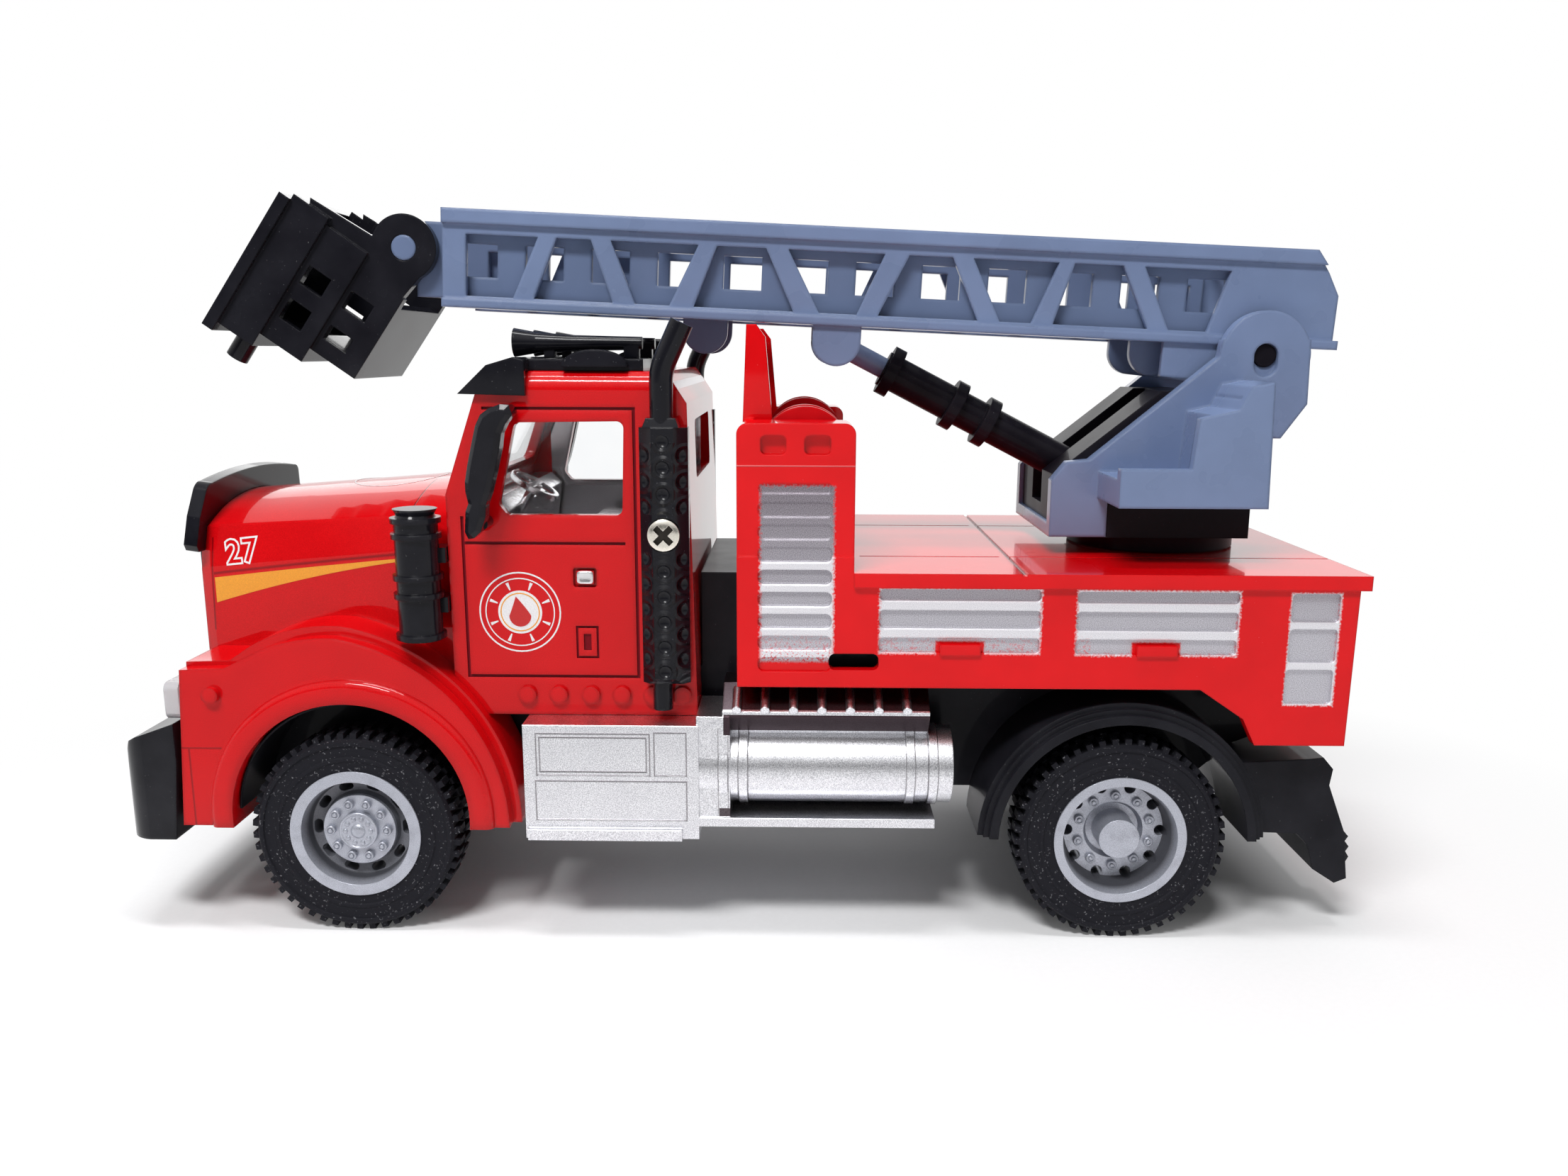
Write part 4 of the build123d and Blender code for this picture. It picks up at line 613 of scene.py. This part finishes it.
badge_x, badge_z, badge_radius = 29.15 * mm, 43.9 * mm, 5.4 * mm
flat_ink, line_ink, flame_ink = 0.03 * mm, 0.05 * mm, 0.08 * mm
ray_reach = 3.7 * mm
flame_z, flame_radius = badge_z - 0.5 * mm, 1.45 * mm
badge_hub = Matrix.Translation((badge_x, 0, badge_z))
layers = [
    # name, inner radius, outer radius, ink, height above the enamel
    ("badge_rim", badge_radius - 0.20 * mm, badge_radius, white_ink, flat_ink),
    ("badge_ring", badge_radius - 0.95 * mm, badge_radius - 0.80 * mm, white_ink, flat_ink),
    ("badge_disc", 0.0, 2.9 * mm, white_ink, flat_ink),
    ("badge_line", 2.45 * mm, 2.6 * mm, yellow_ink, line_ink),
]
for side, sign in (("left", 1), ("right", -1)):
    faces_out = (sign * -pi / 2, 0, 0)
    for name, inner, outer, colour, height in layers:
        layer_y = sign * (side_y + height / 2)
        bpy.ops.mesh.primitive_cylinder_add(vertices=48, radius=outer, depth=height,
                                            location=(badge_x, layer_y, badge_z),
                                            rotation=faces_out)
        layer = begin(f"{name}_{side}")
        if inner:
            choose(layer, lambda centre, normal: abs(normal.y) > 0.9)
            bpy.ops.mesh.inset(thickness=outer - inner, depth=0.0)
            bpy.ops.mesh.delete(type="FACE")
            bpy.ops.mesh.select_mode(type="EDGE")
            bpy.ops.mesh.select_non_manifold()
            bpy.ops.mesh.bridge_edge_loops()
        finish_piece(layer, colour, "vehicle")
    # eight short rays between the rings
    rays = []
    for step in range(8):
        ray_y = sign * (side_y + flat_ink / 2)
        bpy.ops.mesh.primitive_cube_add(size=1.0, location=(badge_x, ray_y, badge_z),
                                        scale=(0.16 * mm, flat_ink, 1.05 * mm))
        ray = begin("badge_ray")
        choose(ray, lambda centre, normal: normal.z > 0.9)
        bpy.ops.transform.resize(value=(2.6, 1.0, 1.0), center_override=(badge_x, 0, 0))
        bpy.ops.object.mode_set(mode="OBJECT")
        ray.data.transform(Matrix.Translation((0, 0, ray_reach)))
        turn = Matrix.Rotation((step + 0.5) * pi / 4, 4, "Y")
        ray.data.transform(badge_hub @ turn @ badge_hub.inverted())
        rays.append(ray)
    finish_piece(join_up(f"badge_rays_{side}", rays), white_ink, "vehicle")
    # flame: a round drop drawn up to a leaning tip
    flame_y = sign * (side_y + flame_ink / 2)
    bpy.ops.mesh.primitive_cylinder_add(vertices=28, radius=flame_radius, depth=flame_ink,
                                        location=(badge_x, flame_y, flame_z),
                                        rotation=faces_out)
    flame = begin(f"badge_flame_{side}")
    for vert in flame.data.vertices:
        rise = (vert.co.z - flame_z) / flame_radius
        if rise > 0:
            narrowed = (vert.co.x - badge_x) * (1 - rise) ** 0.45
            vert.co.x = badge_x + narrowed + 0.5 * mm * rise * rise
            vert.co.z += 1.15 * mm * rise * rise
    finish_piece(flame, red_ink, "vehicle")

crest_x, crest_radius = 51.0 * mm, 7.0 * mm
bpy.ops.mesh.primitive_circle_add(vertices=40, radius=crest_radius, fill_type="NGON",
                                  location=(crest_x, 0, 64 * mm))
crest = begin("hood_crest")
choose(crest, lambda centre, normal: True)
bpy.ops.mesh.inset(thickness=0.22 * mm, depth=0.0)
bpy.ops.mesh.delete(type="FACE")
bpy.ops.object.mode_set(mode="OBJECT")
lay_on(crest, "cab_shell", "Z")
finish_piece(crest, white_ink, "vehicle")

# ---------------------------------------------------------------- cab windows and interior
# A clear plastic box is clipped in behind all the window openings.  Seats, dashboard and steering
# wheel are one plastic moulding, plated bright.
clear_plastic, shader, place = start_finish("clear_plastic", Transmission_Weight=1.0, IOR=1.12)
smears = place.cloud(5 * mm, detail=3.0)
smears.tint((0.95, 0.96, 0.97), (1.0, 1.0, 1.0)).feed(shader, "Base Color")
(0.02 + smears.ramp(0.5, 0.9) * 0.05).feed(shader, "Roughness")
dress(clear_plastic, "cab_glazing")

plated, shader, place = start_finish("bright_plating", Metallic=1.0)
ripple = place.cloud(2.2 * mm, detail=3.0)
fine = place.cloud(0.12 * mm, detail=1.0)
ripple.tint((0.62, 0.60, 0.62), (0.86, 0.86, 0.87)).feed(shader, "Base Color")
(0.14 + ripple * 0.12 + fine * 0.05).feed(shader, "Roughness")
(ripple * 0.7 + fine * 0.1).bump(0.10 * mm, place.rounded(0.30 * mm)).feed(shader, "Normal")
dress(plated, "cab_interior")

# ---------------------------------------------------------------- headlamps
# Clear moulded blocks pushed into the fenders' noses, with fine upright flutes inside.
lamp_clear, shader, place = start_finish("lamp_clear", Transmission_Weight=0.55, IOR=1.45)
flute_scale = 260.0
flutes = place.make("ShaderNodeTexWave", {"bands_direction": "Y"},
                    {"Vector": place, "Scale": flute_scale, "Distortion": 0.0})
flutes.tint((0.78, 0.79, 0.82), (0.92, 0.92, 0.94)).feed(shader, "Base Color")
(0.10 + flutes * 0.10).feed(shader, "Roughness")
flutes.bump(0.10 * mm, place.rounded(0.2 * mm)).feed(shader, "Normal")
dress(lamp_clear, "headlamps")

# ---------------------------------------------------------------- grille, bumper and black trim
# Separate black plastic mouldings, glued or clipped to the casting: the grille and bumper are
# satin; the bug deflector, visor, horns, mirrors, air cleaners and tail lamps are glossier.
trim_black = black_moulding("trim_black", (0.005, 0.005, 0.008), 0.18,
                            pebble=0.004 * mm, edge=0.5 * mm)
bumper_black = black_moulding("bumper_black", (0.008, 0.008, 0.011), 0.28,
                              pebble=0.008 * mm, edge=0.7 * mm)
dress(bumper_black, "front_bumper", "grille")
dress(trim_black, "hood_deflector", "roof_set", "air_horns", "mirror_left", "mirror_right",
      "air_cleaner_left", "air_cleaner_right", "tail_lamps")

# ---------------------------------------------------------------- exhaust guards
# Glossy black guards with three columns of dimples.  Each dimple has a low raised lip, as if the
# sheet had been drawn in.
screw_x, screw_z, screw_radius = 9.65 * mm, 54.8 * mm, 2.05 * mm
pitch, lip_radius = 3.3 * mm, 1.20 * mm
guard_black, shader, place = start_finish("guard_black", IOR=1.5, Specular_IOR_Level=0.12,
                                         Coat_Weight=0.5, Coat_Roughness=0.06, Coat_IOR=1.25)


def highest(values):
    """The largest of several values at each point."""
    top = values[0]
    for value in values[1:]:
        top = top.most(value)
    return top


x, z = place.axis(0), place.axis(2)
lips = []
for column_x, first_z in ((screw_x, 36.9 * mm), (6.9 * mm, 38.4 * mm), (12.4 * mm, 38.4 * mm)):
    up = (z - (first_z - pitch / 2)) % pitch - pitch / 2
    across = x - column_x
    reach = (up * up + across * across) ** 0.5
    lips.append((reach - lip_radius).line(0.80 * mm))
round_screw = abs(z - screw_z) < 2.6 * mm
lips = highest(lips) * z.between(35.5 * mm, 66.5 * mm) * (1 - round_screw)
handled = place.cloud(3 * mm, detail=3.0)
specks = place.cloud(0.30 * mm, detail=1.0).ramp(0.74, 0.80)
(specks * 0.35).tint((0.006, 0.006, 0.009), (0.16, 0.16, 0.18)).feed(shader, "Base Color")
(0.16 + handled * 0.14 + specks * 0.3).feed(shader, "Roughness")
(lips * 0.9 + handled * 0.03).bump(0.40 * mm, place.rounded(0.25 * mm)).feed(shader, "Normal")
dress(guard_black, "exhaust_left", "exhaust_right")

# ---------------------------------------------------------------- door handles
# A chromed pull set in the black-washed recess of each door.
handle_x, handle_z = 20.45 * mm, 48.6 * mm
for side, sign in (("left", 1), ("right", -1)):
    handle_y = sign * (side_y - 0.2 * mm)
    bpy.ops.mesh.primitive_cube_add(size=1.0, location=(handle_x, handle_y, handle_z),
                                    scale=(2.2 * mm, 0.9 * mm, 1.7 * mm))
    handle = begin(f"door_handle_{side}")
    rounding = handle.modifiers.new("rounding", "BEVEL")
    rounding.width = 0.3 * mm
    rounding.segments = 3
    choose(handle, lambda centre, normal: normal.y * sign > 0.9)
    bpy.ops.mesh.inset(thickness=0.35 * mm, depth=-0.15 * mm)
    finish_piece(handle, plated, "vehicle")

# ---------------------------------------------------------------- exhaust guard screws
# A nickel-plated cross-head screw holds each dimpled guard to the cab, seated in a round flat.
nickel, shader, place = start_finish("nickel_plate", Metallic=1.0)
scratches = place.cloud(0.20 * mm, detail=3.0)
# painted shade: the cross slot is painted dark, as shadow inside it
in_slot = abs(place.axis(1)).between(25.9 * mm, 26.25 * mm)
metal = scratches.tint((0.62, 0.58, 0.50), (0.82, 0.79, 0.72))
in_slot.tint(metal, (0.05, 0.045, 0.04)).feed(shader, "Base Color")
(0.16 + scratches * 0.14 + in_slot * 0.3).feed(shader, "Roughness")
scratches.bump(0.008 * mm, place.rounded(0.08 * mm)).feed(shader, "Normal")
screw = step_out("guard_screw_left", 40, screw_radius, 0.7 * mm, (screw_x, 26.03 * mm, screw_z),
                 ((0.18 * mm, 0.12 * mm), (0.5 * mm, 0.14 * mm), (0.6 * mm, 0.05 * mm)))
for turn in (45, 135):
    bpy.ops.mesh.primitive_cube_add(size=1.0, location=(screw_x, 26.6 * mm, screw_z),
                                    rotation=(0, radians(turn), 0),
                                    scale=(2.9 * mm, 1.2 * mm, 0.80 * mm))
    slot_cutter = begin("slot_cutter")
    cut = screw.modifiers.new("cross", "BOOLEAN")
    cut.operation = "DIFFERENCE"
    cut.object = slot_cutter
    bpy.ops.object.select_all(action="DESELECT")
    bpy.context.view_layer.objects.active = screw
    screw.select_set(True)
    bpy.ops.object.modifier_apply(modifier=cut.name)
    bpy.data.objects.remove(slot_cutter)
finish_piece(screw, nickel, "vehicle", smooth=25)
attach(copy_piece(screw, "guard_screw_right", to_right), "vehicle")

# ---------------------------------------------------------------- steps and fuel tanks
# One plastic moulding on each side, vacuum-plated to a satin silver: step box, tank with its
# straps, and the shelf above it.
satin_silver, shader, place = start_finish("satin_silver_plating", Metallic=1.0)
spray = place.cloud(0.13 * mm, detail=2.0)
bands = place.cloud(7 * mm, detail=2.0)
base = spray.ramp(0.35, 0.65).tint((0.46, 0.46, 0.49), (0.88, 0.88, 0.91))
clouded = (bands.ramp(0.4, 0.8) * 0.25).tint(base, (0.50, 0.50, 0.54))
x, out, z = place.axis(0), abs(place.axis(1)), place.axis(2)
# engraved outlines of the box's doors and of the tank's straps, dark where the plating is thin
box_rear = 4.0 * mm
panels = [
    # rear x, front x, bottom z, top z
    (11.85, 26.75, 23.0, 28.7),
    (7.05, 11.25, 23.0, 28.9),
    (7.05, 26.95, 16.8, 22.2),
    (12.3, 26.3, 23.5, 28.2),
]
engraved = []
for rear_x, front_x, bottom_z, top_z in panels:
    beside = abs(x - (rear_x + front_x) / 2 * mm) - (front_x - rear_x) / 2 * mm
    over = abs(z - (bottom_z + top_z) / 2 * mm) - (top_z - bottom_z) / 2 * mm
    outline = beside.most(over).line(0.30 * mm)
    engraved.append(outline * (x > box_rear) * (out > 25.5 * mm))
for strap_x in (-26.0, -24.7, -23.0, -21.8, -1.0, 0.3, 1.6, 2.9):
    strap = (x - strap_x * mm).line(0.20 * mm) * 0.8
    engraved.append(strap * (x < box_rear) * z.between(17.6 * mm, 29.4 * mm))
engraved = highest(engraved)
# painted reflection and shadow: the shelf's sloping face between its pins is painted dark, as the
# red body and dark gap reflected there; its underside and the slot below the tank are painted dark,
# as shadow
slope_y, slope_z, slope_reach = 0.5457, 0.838, 40.833 * mm  # its normal and how far out it lies
over_slope = out * slope_y + z * slope_z - slope_reach
behind = x.between(-25.0 * mm, 2.5 * mm)
painted_slope_reflection = behind * (z > 31.8 * mm) * (over_slope < 0.12 * mm)
painted_shelf_shadow = behind * z.between(28.5 * mm, 31.2 * mm) * (x < 2.2 * mm)
slot = z.between(17.25 * mm, 18.4 * mm) * (x < 2.8 * mm)
plain = (1 - engraved * 0.75).least(1 - painted_slope_reflection * 0.93)
plain = plain.least(1 - painted_shelf_shadow * 0.96).least(1 - slot * 0.9)
plain.tint((0.028, 0.010, 0.016), clouded).feed(shader, "Base Color")
(0.24 + spray * 0.16).feed(shader, "Roughness")
(plain * 0.6 + spray * 0.12).bump(0.09 * mm, place.rounded(0.24 * mm)).feed(shader, "Normal")
dress(satin_silver, "tank_left", "tank_right")

# ---------------------------------------------------------------- rear equipment body
# Glossy red plastic.  The shutters and louvres are sprayed silver through a mask, so the silver is
# grainy, thins out at its edges, and leaves the tabs under the shutters red.
body_red, shader, place = start_finish("body_red", IOR=1.5, Specular_IOR_Level=0.05,
                                       Coat_Roughness=0.04, Coat_IOR=1.32)
x, y, z = (place.axis(index) for index in range(3))
drift = place.cloud(0.30 * mm, detail=3.0) - 0.5
silver_areas = [
    # rear x, front x, bottom z, top z, softness of the edge
    (-12.15, -2.45, 38.3, 61.4, 0.40),
    (-38.6, -17.7, 39.6, 48.45, 0.38),
    (-63.7, -42.8, 39.5, 48.35, 0.38),
    (-76.4, -69.8, 33.1, 48.1, 0.30),
]
sprayed = []
for rear_x, front_x, bottom_z, top_z, softness in silver_areas:
    inside = (x - rear_x * mm).least(front_x * mm - x)
    inside = inside.least((z - bottom_z * mm).least(top_z * mm - z))
    sprayed.append((inside + drift * softness * 2.4 * mm).ramp(-0.02 * mm, softness * mm))
sprayed = highest(sprayed)
for middle_x in (-28.25, -53.35):
    reach = (abs(x - middle_x * mm) - 3.0 * mm).most(z - 41.2 * mm)
    sprayed = sprayed.least((reach + drift * 0.4 * mm).ramp(0.0, 0.25 * mm))
thin = (1 - (z - 38.0 * mm).ramp(0.0, 4.5 * mm)) * (x > -45.0 * mm)
on_side = abs(y).between(26.3 * mm, 27.2 * mm)
sprayed = sprayed * (1 - thin * drift.ramp(0.02, 0.12)) * on_side
pressed = abs(y) < 26.85 * mm
grain = place.cloud(0.10 * mm, detail=2.0)
land = grain.ramp(0.30, 0.68).tint((0.62, 0.61, 0.66), (0.92, 0.91, 0.94))
# painted shade and reflection: silver in the pressed hollows is painted darker than on the lands,
# as shade in the recesses, and darker still higher up, as a painted reflection
upper_hollow_shade = grain.ramp(0.34, 0.66).tint((0.13, 0.11, 0.13), (0.36, 0.33, 0.37))
lower_hollow_shade = grain.ramp(0.34, 0.66).tint((0.34, 0.33, 0.37), (0.70, 0.69, 0.74))
painted_hollow_shade = z.ramp(42.0 * mm, 60.0 * mm).tint(lower_hollow_shade, upper_hollow_shade)
silver = pressed.tint(land, painted_hollow_shade)
# a moulded crease runs across the tower over its louvres, and its line is also painted pale red as
# a highlight along it
crease_with_highlight = (z - 63.7 * mm).line(0.26 * mm) * x.between(-15.6 * mm, 1.5 * mm)
crease_with_highlight = crease_with_highlight * (abs(y) > 26.0 * mm)
grooves = z.between(49.6 * mm, 50.1 * mm) * (abs(y) < 26.5 * mm)
flecks = place.cloud(0.30 * mm, detail=1.0).ramp(0.76, 0.81) * 0.22
red = (place.cloud(8 * mm).ramp(0.3, 0.7) * 0.5).tint((0.72, 0.002, 0.005), (0.58, 0.001, 0.003))
fleck_and_highlight_red = (flecks + crease_with_highlight * 0.5).clamped().tint(red, (0.85, 0.28, 0.29))
grooves.tint(sprayed.tint(fleck_and_highlight_red, silver), (0.10, 0.002, 0.004)).feed(shader, "Base Color")
(sprayed * 0.62).feed(shader, "Metallic")
(0.17 + sprayed * 0.24 + grain * 0.05).feed(shader, "Roughness")
((1 - sprayed) * 0.8).feed(shader, "Coat Weight")
skin = (grain * (0.08 + sprayed * 0.92)).bump(0.010 * mm, place.rounded(0.40 * mm))
crease_with_highlight.bump(0.08 * mm, skin).feed(shader, "Normal")
dress(body_red, "rear_body")

reel_red, shader, place = start_finish("reel_red", IOR=1.5, Specular_IOR_Level=0.12)
mottle = place.cloud(3 * mm, detail=2.0)
mottle.tint((0.46, 0.002, 0.006), (0.62, 0.006, 0.010)).feed(shader, "Base Color")
(0.20 + mottle * 0.12).feed(shader, "Roughness")
place.cloud(0.3 * mm).bump(0.006 * mm, place.rounded(0.25 * mm)).feed(shader, "Normal")
dress(reel_red, "hose_reel")

# ---------------------------------------------------------------- turntable
# A black core turns on the deck and carries the cylinder's foot.  The grey-blue frame over it, with
# its cheeks and stepped seats, is one moulding, and a black pin through it hangs the ladder.
core_black = black_moulding("core_black", (0.006, 0.005, 0.008), 0.42, pebble=0.012 * mm,
                            edge=0.3 * mm, dust=0.3, spec=0.05, coat=0.12)
dress(core_black, "turret_core", "ladder_pin", "cylinder_barrel")


def slate_moulding(name, colour, gloss):
    """Grey-blue plastic: faint flow marks, a slightly waxy gloss and scuffs along its edges."""
    material, shader, place = start_finish(name, IOR=1.5, Specular_IOR_Level=0.22, Coat_Weight=0.30,
                                           Coat_Roughness=0.10, Coat_IOR=1.35)
    flow = place.cloud(11 * mm, detail=3.0, roughness=0.6)
    scuffs = place.cloud(0.22 * mm, detail=3.0).ramp(0.66, 0.76)
    scuffs = scuffs * place.cloud(3 * mm).ramp(0.50, 0.70)
    lighter = tuple(part * 1.14 for part in colour)
    chalky = tuple(min(1.0, part * 1.5 + 0.05) for part in colour)
    flowed = flow.ramp(0.3, 0.7).tint(colour, lighter)
    (scuffs * 0.35).tint(flowed, chalky).feed(shader, "Base Color")
    (gloss + flow * 0.12 + scuffs * 0.2).feed(shader, "Roughness")
    skin = place.cloud(0.35 * mm, detail=2.0)
    skin.bump(0.005 * mm, place.rounded(0.60 * mm)).feed(shader, "Normal")
    return material


slate = slate_moulding("slate_plastic", (0.150, 0.200, 0.330), 0.22)
dress(slate, "turret_frame")

# ---------------------------------------------------------------- ladders and the lift rod
# The outer ladder is a grey-blue truss with rungs across its top.  The inner one slides in it and
# is pushed out by round tabs below.  The cylinder's rod is the same plastic.
dress(slate, "outer_ladder", "cylinder_rod")
inner_slate = slate_moulding("inner_slate_plastic", (0.115, 0.155, 0.260), 0.24)
dress(inner_slate, "inner_ladder", "slide_tabs")

# ---------------------------------------------------------------- rescue basket
# Stepped black plastic cage hung on two ears from the inner ladder's end pins.
basket_black = black_moulding("basket_black", (0.006, 0.006, 0.009), 0.20, pebble=0.005 * mm)
dress(basket_black, "basket")

# ---------------------------------------------------------------- floor, light and camera
# A white floor that runs out to a white surround, three soft lamps, and a lens of 27 mm that looks
# a little down at the left side.
bpy.ops.mesh.primitive_plane_add(size=8.0, location=(0, 0, 0))
floor = bpy.context.active_object
floor.name = "floor"
paper, shader, place = start_finish("floor_paper", Roughness=0.9, Specular_IOR_Level=0.2)
place.cloud(0.8 * mm).tint((0.86, 0.86, 0.87), (0.90, 0.90, 0.91)).feed(shader, "Base Color")


def ray_kinds(shade):
    """1 for camera rays, 1 for glossy rays, and the number of glossy bounces before this point."""
    return [shade.make("ShaderNodeLightPath", output=name)
            for name in ("Is Camera Ray", "Is Glossy Ray", "Glossy Depth")]


seen, glossy, bounced = ray_kinds(place)
shadow_length, shadow_width, shadow_fade = 74 * mm, 18 * mm, 85 * mm
beside_x = (abs(place.axis(0)) - shadow_length).most(0.0)
beside_y = (abs(place.axis(1)) - shadow_width).most(0.0)
away = ((beside_x * beside_x + beside_y * beside_y) ** 0.5).ramp(0.0, shadow_fade)
white = place.make("ShaderNodeEmission", {}, {"Color": (1, 1, 1, 1), "Strength": 1.0})
mix = place.make("ShaderNodeMixShader", {}, {0: (seen + glossy + bounced).clamped() * away,
                                             1: Shade(place.tree, shader.outputs[0]), 2: white})
tree = paper.node_tree
tree.links.new(mix.socket, tree.nodes["Material Output"].inputs["Surface"])
floor.data.materials.append(paper)

surround = bpy.data.worlds.new("white_surround")
surround.use_nodes = True
bpy.context.scene.world = surround
tree = surround.node_tree
tree.nodes.clear()
end = tree.nodes.new("ShaderNodeOutputWorld")
heading = Shade(tree, tree.nodes.new("ShaderNodeTexCoord").outputs["Generated"])
seen, glossy, bounced = ray_kinds(heading)
# behind the camera the room is darker, which metal and gloss show as a soft band at eye level
band_height, band_core, band_edge, band_depth = 0.08, 0.10, 0.42, 0.85
band = 1 - abs(heading.axis(2) - band_height).ramp(band_core, band_edge)
dim = heading.axis(1).ramp(0.25, 0.75) * band
ambient = 0.24
strength = ambient + seen * (1 - ambient)
strength = strength + (glossy + bounced).clamped() * ((1 - ambient) - dim * band_depth)
sky = heading.make("ShaderNodeBackground", {}, {"Color": (1, 1, 1, 1), "Strength": strength})
tree.links.new(sky.socket, end.inputs["Surface"])

lamps = [
    # name, place, looks at, width, height, watts
    ("key_lamp", (0.12, 0.30, 0.46), (0, 0, 0.04), 0.20, 0.07, 2.1),
    ("top_lamp", (0.02, 0.08, 0.60), (0, 0, 0.03), 0.26, 0.06, 1.4),
    ("back_lamp", (-0.02, -0.66, 0.32), (0, 0, 0.05), 1.30, 0.24, 1.15),
]
for name, place_at, target, width, height, watts in lamps:
    lamp_data = bpy.data.lights.new(name, "AREA")
    lamp_data.shape = "RECTANGLE"
    lamp_data.size = width
    lamp_data.size_y = height
    lamp_data.energy = watts
    lamp = bpy.data.objects.new(name, lamp_data)
    lamp.location = place_at
    lamp.rotation_euler = (Vector(target) - Vector(place_at)).to_track_quat("-Z", "Y").to_euler()
    lamp.visible_camera = False
    bpy.context.scene.collection.objects.link(lamp)

focal_pixels, image_pixels = 1661.0, 2212.0
yaw, pitch_down, roll = 0.0127, 0.1980, 0.0036
camera_at = (-7.53 * mm, 173.58 * mm, 77.67 * mm)
camera_data = bpy.data.cameras.new("camera")
camera_data.sensor_width = 36.0
camera_data.lens = focal_pixels / image_pixels * camera_data.sensor_width
camera_data.clip_start = 0.005
camera_data.clip_end = 20.0
camera = bpy.data.objects.new("camera", camera_data)
bpy.context.scene.collection.objects.link(camera)
# level, the lens looks along -Y with -X to its right; then it is turned
level = Matrix(((-1, 0, 0), (0, 0, 1), (0, 1, 0))).transposed()
aim = Matrix.Rotation(yaw, 3, "Z") @ Matrix.Rotation(pitch_down, 3, "X")
aim = aim @ Matrix.Rotation(roll, 3, "Y")
camera.matrix_world = Matrix.Translation(camera_at) @ (aim @ level).to_4x4()
bpy.context.scene.camera = camera
bpy.context.scene.view_settings.view_transform = "Standard"
